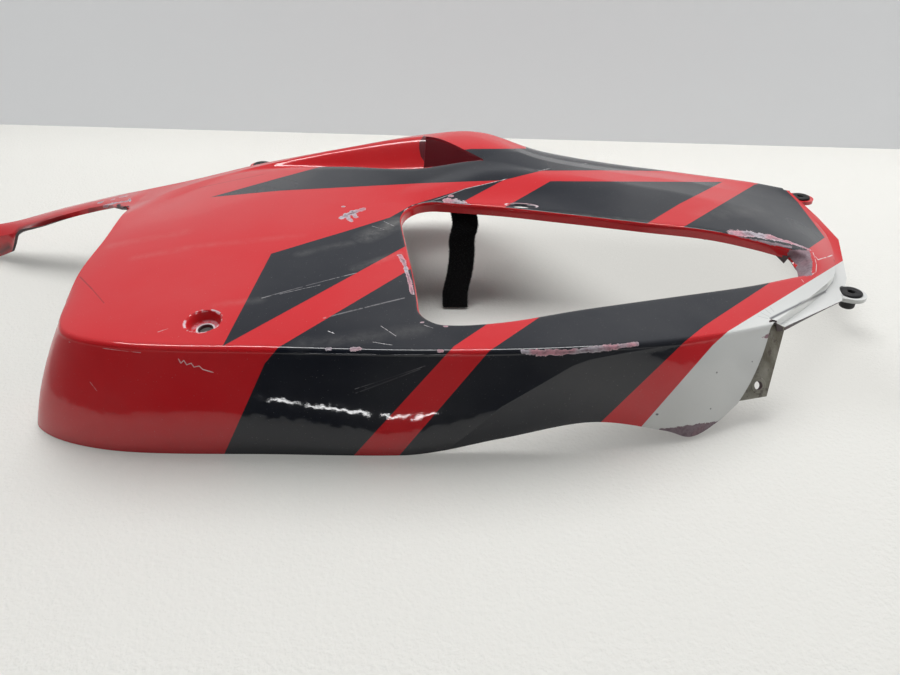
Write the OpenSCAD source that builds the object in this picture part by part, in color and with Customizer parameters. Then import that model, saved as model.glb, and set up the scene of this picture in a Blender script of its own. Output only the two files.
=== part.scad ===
// Side fairing of a motorcycle: one thin moulded shell with an open vent, a
// scooped channel, a rear arm and a stepped front ledge, with three rubber
// well nuts and one foam strip fitted to it.
// Sizes are in mm. X runs to the front of the motorcycle, Y away from the
// upright wall, Z up from the floor on which the shell lies.

/* [Shell] */
// Thickness of the moulded skin
skin = 2.6; // [2:0.1:3.2]
// Radius of the fold between the wall and the face
fold_radius = 4.5; // [3:0.5:9]
// Outward bulge of the wall at mid height
wall_bulge = 3; // [0:0.5:6]
// Depth of the lip under the rear free edge
rear_lip = 9; // [6:1:14]
// Height of the crest that runs from the vent to the hood
crest_height = 4; // [0:0.5:6]

/* [Vent and channel] */
// Depth of the return flange round the vent
vent_flange = 9; // [7:0.5:12]
// Inward lean of the return flange at the vent's pointed end
vent_tip_lean = 1.5; // [0.8:0.05:1.8]
// Radius between the face and the return flange
vent_lip_radius = 3; // [2.8:0.2:4]
// Depth of the channel where it runs under the hood
channel_depth = 24; // [16:1:28]

/* [Front ledge] */
// Height of the step from the face down to the ledge
step_drop = 5.5; // [3.5:0.5:7]

/* [Screw recess] */
// Inner diameter of the recess at the face
recess_d = 24; // [20:0.5:28]
// Depth of the recess
recess_depth = 7; // [5:0.5:9]
// Diameter of the screw hole in the recess
screw_d = 9.5; // [6.5:0.5:11]
// Diameter of the screw hole in the front flange
flange_hole_d = 6.5; // [5.5:0.5:8]

/* [Well nuts] */
// Diameter of the rubber flange
nut_flange_d = 19; // [17:0.5:21]
// Thickness of the rubber flange
nut_flange_t = 2.5; // [2:0.25:3.5]
// Diameter of the rubber body in its hole
nut_body_d = 12.7; // [11:0.1:13.5]
// Length of the rubber body below the tab
nut_body_l = 13; // [10:0.5:16]
// Thread bore of the brass insert
insert_bore_d = 5; // [4:0.5:6]
// Outer diameter of the brass insert
insert_d = 8; // [7.5:0.25:9]
// Length of the brass insert
insert_l = 8; // [6:0.5:9]
// Radius of the tab that holds a well nut
tab_r = 13; // [11.5:0.5:15]

/* [Foam strip] */
// Width of the strip
foam_w = 24; // [18:1:30]
// Thickness of the strip
foam_t = 5; // [4:0.5:7]

/* [Hidden] */
$fn = 48;

// Lines across the shell, each a row of stations from the rear to the front
hem_line = [[-309, 72, 0], [-302, 30, 0], [-238, 5, 0], [-120, 1, 0], [-30, 0, 0], [35, 7, 9],
    [98, 13, 19], [150, 15, 10], [172, 16, 3], [192, 25, 8], [209, 35, 18]];
fold_line = [[-274, 66, 84.5], [-256, 25, 86], [-205, 9, 86], [-115, 5, 86], [-33, 2, 86],
    [33, 4, 85], [92, 12, 82.5], [143, 27, 77], [180, 42, 72], [212, 58, 67], [237, 71, 64]];
near_line = [[-282, 108, 87.5], [-258, 85, 89], [-202, 62, 91], [-112, 48, 91], [-17, 31, 88],
    [33, 34, 87], [95, 57, 84], [165, 85.5, 77.5], [238, 118, 69], [303, 157, 57.5],
    [337, 177, 46.5]];
far_line = [[-287, 165, 88.5], [-262, 172, 91], [-200, 180, 95], [-115, 198, 97], [-43, 231, 96],
    [33, 227, 94], [100, 220, 89.5], [170, 209, 85.5], [240, 205, 78], [315, 196, 62.5],
    [352, 207, 49.5]];
lip_line = [[-296, 222, 86.5], [-264, 262, 87], [-206, 322, 91], [-118, 312, 100],
    [-36, 291, 105], [33, 306, 108], [95, 296, 101], [168, 282, 94], [245, 270, 84],
    [318, 262, 68], [368, 262, 51]];
// The three lines below start four stations earlier, along the arm
hood_line = [[-512, 313, 20], [-462, 301, 31], [-408, 292, 52], [-345, 281, 71], [-301, 252, 82],
    [-264, 290, 87], [-203, 338, 91], [-118, 358, 104], [-29, 364, 117], [33, 350, 117],
    [95, 325, 104], [168, 315, 94.5], [243, 308, 85], [316, 303, 72], [362, 303, 61]];
ridge_line = [[-512, 326, 28], [-462, 320, 38], [-405, 313, 55], [-345, 305, 71], [-303, 302, 80],
    [-262, 316, 84.5], [-198, 350, 91], [-110, 366, 105], [-25, 373, 118], [33, 374, 120],
    [94, 347, 105], [165, 340, 93.5], [240, 338, 84.5], [312, 336, 75], [350, 333, 69.5]];
back_line = [[-512, 329, 12], [-462, 326, 28], [-405, 320, 45], [-345, 313, 60], [-304, 316, 66],
    [-262, 336, 66], [-198, 376, 62], [-110, 396, 58], [-25, 410, 62], [40, 406, 78],
    [105, 396, 46], [175, 384, 20], [245, 372, 2.5], [315, 362, 2.5], [358, 345, 38]];
arm_low = [[-508, 315, 0], [-463, 298, 22], [-409, 290, 45], [-345, 280, 64]];
// Outer edge of the front ledge, from the hem over the face to the back
ledge_edge = [[232, 41, 20], [251, 78, 57], [340, 158, 33.5], [362, 196, 35.5], [379, 254, 47],
    [374, 290, 54], [358, 331, 67], [366, 346, 36]];

// Columns (stations) and rows (zone, share of zone) of the surface grid
arm_cols = [-4, -3.85, -3.5, -3, -2.5, -2, -1.5, -1, -0.5, -0.15];
face_cols = [0, 0.25, 0.55, 0.85, 1.15, 1.5, 1.85, 2.2, 2.6, 3, 3.4, 3.7, 3.82, 3.92, 4.05, 4.12,
    4.22, 4.36, 4.55, 4.78, 5, 5.2, 5.45, 5.75, 6.1, 6.5, 6.9, 7.3, 7.7, 8.05, 8.35, 8.6, 8.8,
    8.93, 9.02, 9.1, 9.25, 9.45, 9.7, 10];
cols = concat(arm_cols, face_cols);
arm_share = 0.72;
rows = concat([for (t = [0, 0.12, 0.35, 0.6, 0.85, 1]) [0, t]], [for (t = [0.33, 0.67]) [1, t]],
    [for (t = [0, 0.2, 0.4, 0.62, 0.82]) [2, t]],
    [for (t = [0, 0.03, 0.08, 0.16, 0.3, 0.5, 0.7, 0.84, 0.92, 0.97]) [3, t]],
    [for (t = [0, 0.25, 0.5, 0.75]) [4, t]],
    [for (t = [0, 0.12, 0.24, 0.36, 0.5, 0.6, arm_share, 0.86]) [5, t]],
    [for (t = [0, 0.5]) [6, t]], [for (t = [0, 0.15, 0.35, 0.6, 0.8, 1]) [7, t]]);
function row_of(zone, n = 0) = [for (j = [0:len(rows) - 1]) if (rows[j][0] == zone) j][n];
function col_of(u) = [for (i = [0:len(cols) - 1]) if (abs(cols[i] - u) < 0.001) i][0];
i_lip = len(arm_cols) - 1;
i_face = len(arm_cols);
n_face = len(cols);
n_cols = n_face + 3;
n_rows = len(rows);
j_arm = [for (j = [0:n_rows - 1]) if (rows[j][0] == 5 && rows[j][1] == arm_share) j][0];
j_lip = row_of(2, 1);
vent_i = [col_of(3.92), col_of(9.1)];
vent_j = [row_of(3), row_of(4)];
mouth_i = [col_of(4.05), col_of(5)];
mouth_j = [row_of(5, 2), row_of(6)];
// Corner rounding of the vent: share of its length, share of its width
vent_round = [[0.055, 0.1], [0.045, 0.34], [0.05, 0.42], [0.095, 0.2]];

function mix(a, b, t) = a + (b - a) * t;
function unit(v) = v / norm(v);
function ease(x) = let (t = min(max(x, 0), 1)) t * t * (3 - 2 * t);
function spline(a, b, c, d, t) = 0.5 * (2 * b + (c - a) * t + (2 * a - 5 * b + 4 * c - d) * t * t
    + (3 * b - a - 3 * c + d) * t * t * t);
function on_line(r, s) = let (n = len(r) - 1, k = min(max(floor(s), 0), n - 1))
    spline(r[max(k - 1, 0)], r[k], r[k + 1], r[min(k + 2, n)], s - k);
function arc3(a, b, c, t) = (1 - t) * (1 - t) * a + 2 * t * (1 - t) * b + t * t * c;
// How far the hood's lip is drawn to the channel's near lip
function hood_draw(u) = 0.93 * (u < 4 ? 0 : u <= 5 ? u - 4 : max(0, 1 - (u - 5) / 0.6));
function channel_at(u) = channel_depth * (u <= 4.1 ? ease((u - 1.7) / 2.3) : 1 - ease((u - 4.1) / 0.9));
function channel_shape(t) = t < 0.35 ? ease(t / 0.35) : t < 0.6 ? 1 : 1 - ease((t - 0.6) / 0.4);
// Crest: a line from the vent's rear corner to the hood's foot and onward
function crest_at(u) = u < 4 ? -0.1 : u < 5 ? (u - 4) * 0.62 : 0.62 + (u - 5) * 0.3;
function crest_lift(u, t) = crest_height * ease((u - 3.6) / 0.7) * (1 - ease((u - 5.6) / 1.2))
    * max(0, 1 - abs(t - crest_at(u)) / 0.45);

function lines_at(u) = [on_line(fold_line, u), on_line(near_line, u), on_line(far_line, u),
    on_line(lip_line, u), on_line(hood_line, u + 4), on_line(ridge_line, u + 4),
    on_line(back_line, u + 4), on_line(hem_line, u),
    on_line(fold_line, min(u + 0.05, 10)) - on_line(fold_line, max(u - 0.05, 0))];
function slope(r, k) = k == 0 ? unit(r[1] - r[0])
    : (r[k + 1] - r[k - 1]) / (norm(r[k + 1] - r[k]) + norm(r[k] - r[k - 1]));
function across(r, k, t) = let (h = norm(r[k + 1] - r[k]), t2 = t * t, t3 = t * t * t)
    (2 * t3 - 3 * t2 + 1) * r[k] + (t3 - 2 * t2 + t) * h * slope(r, k)
    + (3 * t2 - 2 * t3) * r[k + 1] + (t3 - t2) * h * slope(r, k + 1);
function wall_top(r) = r[0] + unit(r[7] - r[0]) * fold_radius;
function face_start(r) = fold_radius / norm(r[1] - r[0]);
function back_point(r5, r6, t) = arc3(r5, [r6[0], mix(r5[1], r6[1], 0.8), r5[2]], r6, t);

function face_point(u, r, z, t) =
    z == 0 ? let (o = unit([r[8][1], -r[8][0], 0]))
        mix(r[7], wall_top(r), t) + o * wall_bulge * 4 * t * (1 - t)
    : z == 1 ? arc3(wall_top(r), r[0], across(r, 0, face_start(r)), t)
    : z == 2 ? across(r, 0, mix(face_start(r), 1, t))
    : z == 3 ? across(r, 1, t)
    : z == 4 ? across(r, 2, t) + [0, 0, crest_lift(u, t) * 4 * t * (1 - t)]
    : let (tn = hood_draw(u), hood = mix(r[4], r[3], tn))
        z == 5 ? mix(r[3], hood, t) - [0, 0, channel_at(u) * channel_shape(t)]
        : z == 6 ? mix(hood, r[5], t) + [0, 0, 12 * t * (1 - t) * tn]
        : back_point(r[5], r[6], t);
function arm_point(u, r, z, t) =
    z == 5 ? let (root = mix(lip_line[0], hood_line[4], arm_share),
            low = on_line(concat(arm_low, [root]), u + 4))
        mix(low, r[4], (t - arm_share) / (1 - arm_share))
    : z == 6 ? mix(r[4], r[5], t) + [0, 0, 6 * t * (1 - t)]
    : back_point(r[5], r[6], t);
// Position on the ledge's outer edge that goes with a zone and share
function ledge_point(z, t) = let (e = ledge_edge)
    z == 0 ? mix(e[0], e[1], t * 0.93) : z == 1 ? mix(e[0], e[1], 0.93 + 0.07 * t)
    : z == 2 ? mix(e[1], e[2], t) : z == 3 ? mix(e[2], e[3], t) : z == 4 ? mix(e[3], e[4], t)
    : z == 5 ? mix(e[4], e[5], t) : z == 6 ? mix(e[5], e[6], t) : back_point(e[6], e[7], t);

// Rounded outline of the vent: moves a border place (s, t) onto the corner arc
function corner_arc(q, s, t) = let (
        a = vent_round[q][0], b = vent_round[q][1],
        x = (q == 0 || q == 3) ? s : 1 - s, y = (q < 2) ? t : 1 - t,
        g = y == 0 ? 45 + 45 * min(x / a, 1) : 45 - 45 * min(y / b, 1),
        m = x >= a || y >= b ? [x, y] : [a * (1 - cos(g)), b * (1 - sin(g))])
    [(q == 0 || q == 3) ? m[0] : 1 - m[0], (q < 2) ? m[1] : 1 - m[1]];
function vent_place(i, j) = let (
        u0 = cols[vent_i[0]], u1 = cols[vent_i[1]], s = (cols[i] - u0) / (u1 - u0),
        t = j == vent_j[1] ? 1 : rows[j][1], q = s < 0.5 ? (t < 0.5 ? 0 : 3) : (t < 0.5 ? 1 : 2),
        m = corner_arc(q, s, t))
    [mix(u0, u1, m[0]), m[1]];
function on_vent(i, j) = i >= vent_i[0] && i <= vent_i[1] && j >= vent_j[0] && j <= vent_j[1]
    && (i == vent_i[0] || i == vent_i[1] || j == vent_j[0] || j == vent_j[1]);

lines_cols = [for (u = cols) lines_at(u)];
front_lines = lines_at(10);
function grid_point(i, j) = let (z = rows[j][0], t = rows[j][1])
    i >= n_face ? let (
            p = face_point(10, front_lines, z, t), q = ledge_point(z, t),
            share = z < 4 ? 1 : z == 4 ? mix(1, 0.2, t) : 0.2,
            drop = z < 2 ? [-0.3, 0.5, 0] * step_drop * 0.7 : [0, 0, -step_drop * share],
            d = unit(q - p), foot = p + drop + d * 2)
        i == n_face ? foot : i == n_face + 1 ? mix(foot, q, 0.5) : q
    : i < i_lip ? (j >= j_arm ? arm_point(cols[i], lines_cols[i], z, t)
        : arm_point(cols[i], lines_cols[i], 5, arm_share))
    : i == i_lip ? (j >= j_arm ? arm_point(cols[i], lines_cols[i], z, t)
        : face_point(0, lines_cols[i_face], z, t)
            + (j < j_lip ? [0, 0, 0] : [-0.1, 0.05, -1] * rear_lip))
    : on_vent(i, j) ? let (m = vent_place(i, j)) face_point(m[0], lines_at(m[0]), 3, m[1])
    : face_point(cols[i], lines_cols[i], z, t);
outer = [for (i = [0:n_cols - 1]) [for (j = [0:n_rows - 1]) grid_point(i, j)]];

function inside(i, j, a, b) = i > a[0] && i < a[1] && j > b[0] && j < b[1];
function valid(i, j) = i >= 0 && i < n_cols && j >= 0 && j < n_rows
    && (i < i_lip ? j >= j_arm : i == i_lip ? j >= j_lip
        : !inside(i, j, vent_i, vent_j) && !inside(i, j, mouth_i, mouth_j));
function in_cells(i, j, a, b) = i >= a[0] && i < a[1] && j >= b[0] && j < b[1];
function cell(i, j) = i >= 0 && i < n_cols - 1 && j >= 0 && j < n_rows - 1
    && (i < i_lip ? j >= j_arm : i == i_lip ? j >= j_lip
        : !in_cells(i, j, vent_i, vent_j) && !in_cells(i, j, mouth_i, mouth_j));
function pick(i, j, k, l) = valid(k, l) ? outer[k][l] : outer[i][j];
function grid_normal(i, j) = unit(cross(pick(i, j, i + 1, j) - pick(i, j, i - 1, j),
    pick(i, j, i, j + 1) - pick(i, j, i, j - 1)));

// Ring of grid places round the vent, against the clock seen from above
vent_loop = concat([for (i = [vent_i[0]:vent_i[1]]) [i, vent_j[0]]],
    [for (j = [vent_j[0] + 1:vent_j[1]]) [vent_i[1], j]],
    [for (i = [vent_i[1] - 1:-1:vent_i[0]]) [i, vent_j[1]]],
    [for (j = [vent_j[1] - 1:-1:vent_j[0] + 1]) [vent_i[0], j]]);
n_loop = len(vent_loop);
function loop_at(k) = let (p = vent_loop[(k + n_loop) % n_loop]) outer[p[0]][p[1]];
function step_out(a, lo, hi) = a == lo ? -1 : a == hi ? 1 : 0;
function loop_out(k) = let (p = vent_loop[k])
    outer[p[0] + step_out(p[0], vent_i[0], vent_i[1])][p[1] + step_out(p[1], vent_j[0], vent_j[1])];
loop_tangent = [for (k = [0:n_loop - 1]) unit(loop_at(k + 1) - loop_at(k - 1))];
loop_normal = [for (k = [0:n_loop - 1]) unit(cross(loop_out(k) - loop_at(k), loop_tangent[k]))];
loop_inward = [for (k = [0:n_loop - 1]) unit(cross(loop_normal[k], loop_tangent[k]))];
vent_rearward = unit([-1, -0.12, 0]);
vent_tip_x = max([for (k = [0:n_loop - 1]) loop_at(k)[0]]);
function loop_index(i, j) = [for (k = [0:n_loop - 1]) if (vent_loop[k] == [i, j]) k][0];
function lean_at(x) = vent_tip_lean * ease((x - (vent_tip_x - 42)) / 36);
function flange_ring(k, ring) = let (
        p = loop_at(k), n = loop_normal[k], d = loop_inward[k], r = vent_lip_radius,
        a = min(ring, 2) * 45, lean = lean_at(p[0]), down = ring < 3 ? 0 : vent_flange - r)
    p + d * r * sin(a) - n * r * (1 - cos(a))
        + (vent_rearward * lean * max(0, d * vent_rearward) - [0, 0, 1]) * down;
function flange_normal(k, ring) = let (
        n = loop_normal[k], d = loop_inward[k], lean = lean_at(loop_at(k)[0]),
        e = unit([d[0], d[1], lean * max(0, d * vent_rearward)]))
    ring == 1 ? unit(n + e) : e;

normals = [for (i = [0:n_cols - 1]) [for (j = [0:n_rows - 1])
    on_vent(i, j) ? loop_normal[loop_index(i, j)] : valid(i, j) ? grid_normal(i, j) : [0, 0, 1]]];
// Places that carry no surface repeat a place that does, so no point is loose
function parked(i, j) = valid(i, j) ? outer[i][j] : outer[i_face][j_arm];
// Trimmed flat where the shell stands on the floor
function trimmed(p) = [p[0], p[1], max(p[2], 0)];
shell_points = concat(
    [for (i = [0:n_cols - 1]) for (j = [0:n_rows - 1]) trimmed(parked(i, j))],
    [for (i = [0:n_cols - 1]) for (j = [0:n_rows - 1])
        trimmed(parked(i, j) - (valid(i, j) ? normals[i][j] * skin : [0, 0, 0]))],
    [for (ring = [1:3]) for (k = [0:n_loop - 1]) flange_ring(k, ring)],
    [for (ring = [1:3]) for (k = [0:n_loop - 1])
        flange_ring(k, ring) - flange_normal(k, ring) * skin]);
n_grid = n_cols * n_rows;
function at(i, j) = i * n_rows + j;
function ring_at(k, ring, side) = let (m = (k + n_loop) % n_loop)
    ring == 0 ? at(vent_loop[m][0], vent_loop[m][1]) + side * n_grid
    : 2 * n_grid + (ring - 1 + 3 * side) * n_loop + m;
function strip(p, q, r, s) = [[q, p, r], [q, r, s]];
function cell_faces(i, j) = let (
        a = at(i, j), b = at(i + 1, j), c = at(i + 1, j + 1), d = at(i, j + 1), g = n_grid)
    concat([[a, d, c], [a, c, b], [a + g, c + g, d + g], [a + g, b + g, c + g]],
        cell(i - 1, j) || (i == vent_i[1] && in_cells(i - 1, j, vent_i, vent_j)) ? []
            : strip(a, d, a + g, d + g),
        cell(i, j + 1) || in_cells(i, j + 1, vent_i, vent_j) ? [] : strip(d, c, d + g, c + g),
        cell(i + 1, j) || in_cells(i + 1, j, vent_i, vent_j) ? [] : strip(c, b, c + g, b + g),
        cell(i, j - 1) || in_cells(i, j - 1, vent_i, vent_j) ? [] : strip(b, a, b + g, a + g));
shell_faces = concat(
    [for (i = [0:n_cols - 2]) for (j = [0:n_rows - 2]) if (cell(i, j)) each cell_faces(i, j)],
    [for (ring = [0:2]) for (k = [0:n_loop - 1]) each let (
            p = ring_at(k, ring, 0), q = ring_at(k + 1, ring, 0), r = ring_at(k, ring + 1, 0),
            s = ring_at(k + 1, ring + 1, 0), p1 = ring_at(k, ring, 1), q1 = ring_at(k + 1, ring, 1),
            r1 = ring_at(k, ring + 1, 1), s1 = ring_at(k + 1, ring + 1, 1))
        [[q, p, r], [q, r, s], [q1, r1, p1], [q1, s1, r1]]],
    [for (k = [0:n_loop - 1]) each strip(ring_at(k, 3, 0), ring_at(k + 1, 3, 0),
        ring_at(k, 3, 1), ring_at(k + 1, 3, 1))]);

// Place and upright direction of a feature that stands on the surface
function surface_at(u, z, t) = let (r = lines_at(u), e = 0.02)
    [face_point(u, r, z, t), unit(cross(
        face_point(u + e, lines_at(u + e), z, t) - face_point(u - e, lines_at(u - e), z, t),
        face_point(u, r, z, t + e) - face_point(u, r, z, t - e)))];
recess = surface_at(2.45, 2, 0.52);
j_flange_hole = row_of(0, 1);
flange_hole = let (i = n_face + 1, j = j_flange_hole, n = normals[i][j])
    [mix(outer[i][j], outer[i][j + 1], 0.35) - n * skin / 2, n];
// Tabs: centre of the top of each tab, and the way back to the shell
front_tab = [354, 171, 33.4];
far_tab = [370, 329, 60.5];
rear_tab = [-212, 394, 73.5];
tab_t = skin + 0.6;
seat_depth = 0.4;
// Gusset under the far flange near the vent's tip, and its outline
gusset_at = [295.5, 195.6, 58];
gusset_outline = [[-7, 2.5], [7, 0.5], [4.2, -6.5]];
bolt_play = 0.3;

low = [for (a = [0:2]) min([for (p = shell_points) p[a]])];
high = [for (a = [0:2]) max([for (p = shell_points) p[a]])];
x_max = max(high[0], far_tab[0] + tab_r, front_tab[0] + tab_r);
y_max = max(high[1], rear_tab[1] + tab_r);
origin = [(low[0] + x_max) / 2, (low[1] + y_max) / 2, low[2]];

module stand(f) {
    x = unit(cross([0, 1, 0], f[1]));
    y = cross(f[1], x);
    multmatrix([[x[0], y[0], f[1][0], f[0][0]], [x[1], y[1], f[1][1], f[0][1]],
        [x[2], y[2], f[1][2], f[0][2]], [0, 0, 0, 1]]) children();
}

// One flat tongue: round at its free end, running back under the shell, and
// a little higher than the seat that is cut in it for the nut's flange
module tab(at, back) {
    reach = norm([back[0] - at[0], back[1] - at[1]]);
    translate(at - [0, 0, tab_t]) rotate([0, 0, atan2(back[1] - at[1], back[0] - at[0])])
        linear_extrude(tab_t + seat_depth) polygon(concat([[reach, tab_r]],
            [for (a = [90:7.5:270]) tab_r * [cos(a), sin(a)]], [[reach, -tab_r]]));
}
module gusset() {
    translate(gusset_at) rotate([90, 0, -15]) linear_extrude(2.2, center = true) polygon(gusset_outline);
}
module tab_cuts(at) {
    translate(at) cylinder(d = nut_flange_d + 2 * bolt_play, h = 12);
    translate(at - [0, 0, tab_t + 1]) cylinder(d = nut_body_d, h = tab_t + 2);
}

module fairing_shell() {
    color([0.78, 0.1, 0.12]) difference() {
        union() {
            polyhedron(points = shell_points, faces = shell_faces, convexity = 10);
            stand(recess) translate([0, 0, -recess_depth - skin])
                cylinder(d = recess_d + 2 * skin, h = recess_depth + skin - 0.9);
            stand(flange_hole) translate([0, 0, -skin / 2 - 0.6])
                cylinder(d = flange_hole_d + 6, h = skin + 1.2);
            tab(front_tab, [343, 176, 0]);
            tab(far_tab, [352, 329, 0]);
            tab(rear_tab, [-206, 366, 0]);
            gusset();
        }
        stand(recess) {
            translate([0, 0, -recess_depth]) cylinder(d1 = recess_d - 4, d2 = recess_d, h = recess_depth + 0.2);
            translate([0, 0, -recess_depth - skin - 1]) cylinder(d = screw_d, h = skin + 2);
        }
        stand(flange_hole) translate([0, 0, -5]) cylinder(d = flange_hole_d, h = 10);
        for (at = [front_tab, far_tab, rear_tab]) tab_cuts(at);
    }
}

// Rubber well nut: flange on the tab, body through it, brass insert low down
module well_nut(at) {
    color([0.06, 0.06, 0.06]) translate(at) difference() {
        union() {
            cylinder(d = nut_flange_d, h = nut_flange_t);
            translate([0, 0, -nut_body_l]) cylinder(d = nut_body_d, h = nut_body_l);
        }
        translate([0, 0, -nut_body_l - 1]) cylinder(d = insert_d, h = insert_l + 1);
        translate([0, 0, -nut_body_l]) cylinder(d = insert_bore_d + 1, h = nut_body_l + nut_flange_t + 1);
    }
}
module insert(at) {
    color([0.72, 0.58, 0.3]) translate(at - [0, 0, nut_body_l]) difference() {
        cylinder(d = insert_d, h = insert_l);
        translate([0, 0, -1]) cylinder(d = insert_bore_d, h = insert_l + 2);
    }
}
module front_well_nut() well_nut(front_tab);
module front_insert() insert(front_tab);
module far_well_nut() well_nut(far_tab);
module far_insert() insert(far_tab);
module rear_well_nut() well_nut(rear_tab);
module rear_insert() insert(rear_tab);

// Foam strip: glued behind the far flange of the vent, hanging to the floor
foam_top = surface_at(4.72, 4, 0.12)[0] - [0, 0, skin + 0.1];
foam_path = [foam_top + [0, 0, 0], foam_top + [0, -0.5, -9], [14, 229, 74], [11, 226, 60],
    [11, 222, 46], [9, 217, 30], [5, 212, 14], [5, 209, low[2] + 1]];
module foam_strip() {
    n = len(foam_path);
    color([0.05, 0.05, 0.06]) polyhedron(
        points = [for (p = foam_path) for (c = [[-0.5, -0.5], [0.5, -0.5], [0.5, 0.5], [-0.5, 0.5]])
            p + [c[0] * foam_w, c[1] * foam_t, 0]],
        faces = concat([[3, 2, 1, 0]], [[4 * n - 4, 4 * n - 3, 4 * n - 2, 4 * n - 1]],
            [for (k = [0:n - 2]) for (c = [0:3]) let (a = 4 * k + c, b = 4 * k + (c + 1) % 4)
                each [[a, b, b + 4], [a, b + 4, a + 4]]]));
}

translate(-origin) {
    fairing_shell();
    front_well_nut();
    front_insert();
    far_well_nut();
    far_insert();
    rear_well_nut();
    rear_insert();
    foam_strip();
}
echo(recess = recess, flange_hole = flange_hole, foam_top = foam_top, tabs = [front_tab, far_tab, rear_tab],
    origin = origin);
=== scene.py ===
"""Visual model of one motorcycle side fairing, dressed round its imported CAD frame.

The painted skin is swept again from the same lines as the CAD shell, only finer, and
takes the place of the CAD node. Rubber well nuts, their brass inserts and the foam
strip are made as pieces of their own. All drawing sizes are in millimetres in the
drawing frame of the shell; meshes are in metres in the row frame.
"""

from __future__ import annotations

import logging
import math
from contextlib import contextmanager
from dataclasses import dataclass
from enum import Enum
from typing import Iterable, Iterator, Sequence

import bmesh
import bpy
from mathutils import Matrix, Vector, noise
from mathutils.bvhtree import BVHTree

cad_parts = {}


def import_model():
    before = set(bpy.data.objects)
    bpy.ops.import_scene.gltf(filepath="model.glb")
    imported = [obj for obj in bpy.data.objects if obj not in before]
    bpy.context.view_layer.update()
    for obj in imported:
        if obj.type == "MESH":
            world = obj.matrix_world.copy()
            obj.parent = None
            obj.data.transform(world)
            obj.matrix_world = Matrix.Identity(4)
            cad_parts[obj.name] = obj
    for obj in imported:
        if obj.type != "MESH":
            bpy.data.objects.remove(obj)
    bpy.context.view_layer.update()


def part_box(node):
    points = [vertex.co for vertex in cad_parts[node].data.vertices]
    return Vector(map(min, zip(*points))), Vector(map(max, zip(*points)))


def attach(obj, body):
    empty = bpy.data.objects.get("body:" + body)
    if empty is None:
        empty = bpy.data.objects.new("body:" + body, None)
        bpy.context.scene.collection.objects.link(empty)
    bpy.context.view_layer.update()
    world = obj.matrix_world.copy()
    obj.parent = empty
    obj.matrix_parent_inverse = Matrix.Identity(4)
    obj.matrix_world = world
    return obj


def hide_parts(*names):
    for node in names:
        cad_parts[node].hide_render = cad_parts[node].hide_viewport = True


LOG = logging.getLogger("fairing")
MM = 0.001
Point = Sequence[float]
Pixel = tuple[float, float]
Colour = tuple[float, float, float, float]
Object = bpy.types.Object
Material = bpy.types.Material
Node = bpy.types.Node
Socket = bpy.types.NodeSocket


# --------------------------------------------------------------------------- maths


def mix(a, b, t: float):
    """Straight blend from a to b, for numbers and for vectors."""
    return a + (b - a) * t


def ease(x: float) -> float:
    """Smooth step from 0 to 1."""
    t = min(max(x, 0.0), 1.0)
    return t * t * (3 - 2 * t)


def arc3(a: Vector, b: Vector, c: Vector, t: float) -> Vector:
    """Quadratic curve from a to c drawn towards b."""
    return a * ((1 - t) * (1 - t)) + b * (2 * t * (1 - t)) + c * (t * t)


def refined(values: Sequence[float], per: int) -> list[float]:
    """Puts evenly spaced values between the given ones.

    Args:
        values: rising values.
        per: how many steps replace one step.

    Returns:
        The longer list, with every given value kept exactly.
    """
    out: list[float] = []
    for a, b in zip(values, values[1:]):
        out += [mix(a, b, k / per) if k else a for k in range(per)]
    return out + [values[-1]]


class Rail:
    """A smooth line through stations, read by station number."""

    def __init__(self, stations: Iterable[Point]) -> None:
        """Keeps the stations as vectors."""
        self.stations = [Vector(p) for p in stations]

    def at(self, s: float) -> Vector:
        """Returns the point at station s, by a Catmull-Rom curve.

        Args:
            s: station number; it may lie a little outside the rail.

        Returns:
            The point in mm.
        """
        r = self.stations
        n = len(r) - 1
        k = min(max(math.floor(s), 0), n - 1)
        a, b, c, d = r[max(k - 1, 0)], r[k], r[k + 1], r[min(k + 2, n)]
        t = s - k
        return 0.5 * (
            2 * b
            + (c - a) * t
            + (2 * a - 5 * b + 4 * c - d) * (t * t)
            + (3 * b - a - 3 * c + d) * (t * t * t)
        )


# --------------------------------------------------------------------------- frame


@dataclass(frozen=True)
class Viewpoint:
    """Where the photograph was taken from, in the drawing frame, in mm."""

    eye: Point = (0.0, -351.0, 326.0)
    pitch_deg: float = 33.0
    focal_px: float = 676.0
    width: int = 900
    height: int = 675

    def ray(self, px: Pixel) -> Vector:
        """Returns the direction, in both frames, that a place in the photograph looks along.

        Args:
            px: place in pixels of the 900 by 675 frame.

        Returns:
            A unit vector.
        """
        p = math.radians(self.pitch_deg)
        ahead = Vector((0, math.cos(p), -math.sin(p)))
        up = Vector((0, math.sin(p), math.cos(p)))
        x = (px[0] - self.width / 2) / self.focal_px
        y = (self.height / 2 - px[1]) / self.focal_px
        return (ahead + Vector((1, 0, 0)) * x + up * y).normalized()


@dataclass
class Placement:
    """Moves drawing points in mm to the row frame in metres."""

    origin: Vector
    view: Viewpoint = Viewpoint()

    @classmethod
    def from_frame(cls, tab: Point) -> "Placement":
        """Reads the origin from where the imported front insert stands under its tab.

        Args:
            tab: centre of the front tab's top in the drawing frame.

        Returns:
            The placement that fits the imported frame.
        """
        low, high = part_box("front_insert")
        x, y = (tab[k] - (low[k] + high[k]) / 2 / MM for k in (0, 1))
        return cls(Vector((x, y, 0)))

    def out(self, p: Point) -> Vector:
        """Returns a drawing point in the row frame, in metres."""
        return (Vector(p) - self.origin) * MM

    @property
    def eye(self) -> Vector:
        """The photograph's viewpoint in the row frame, in metres."""
        return self.out(self.view.eye)


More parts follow.
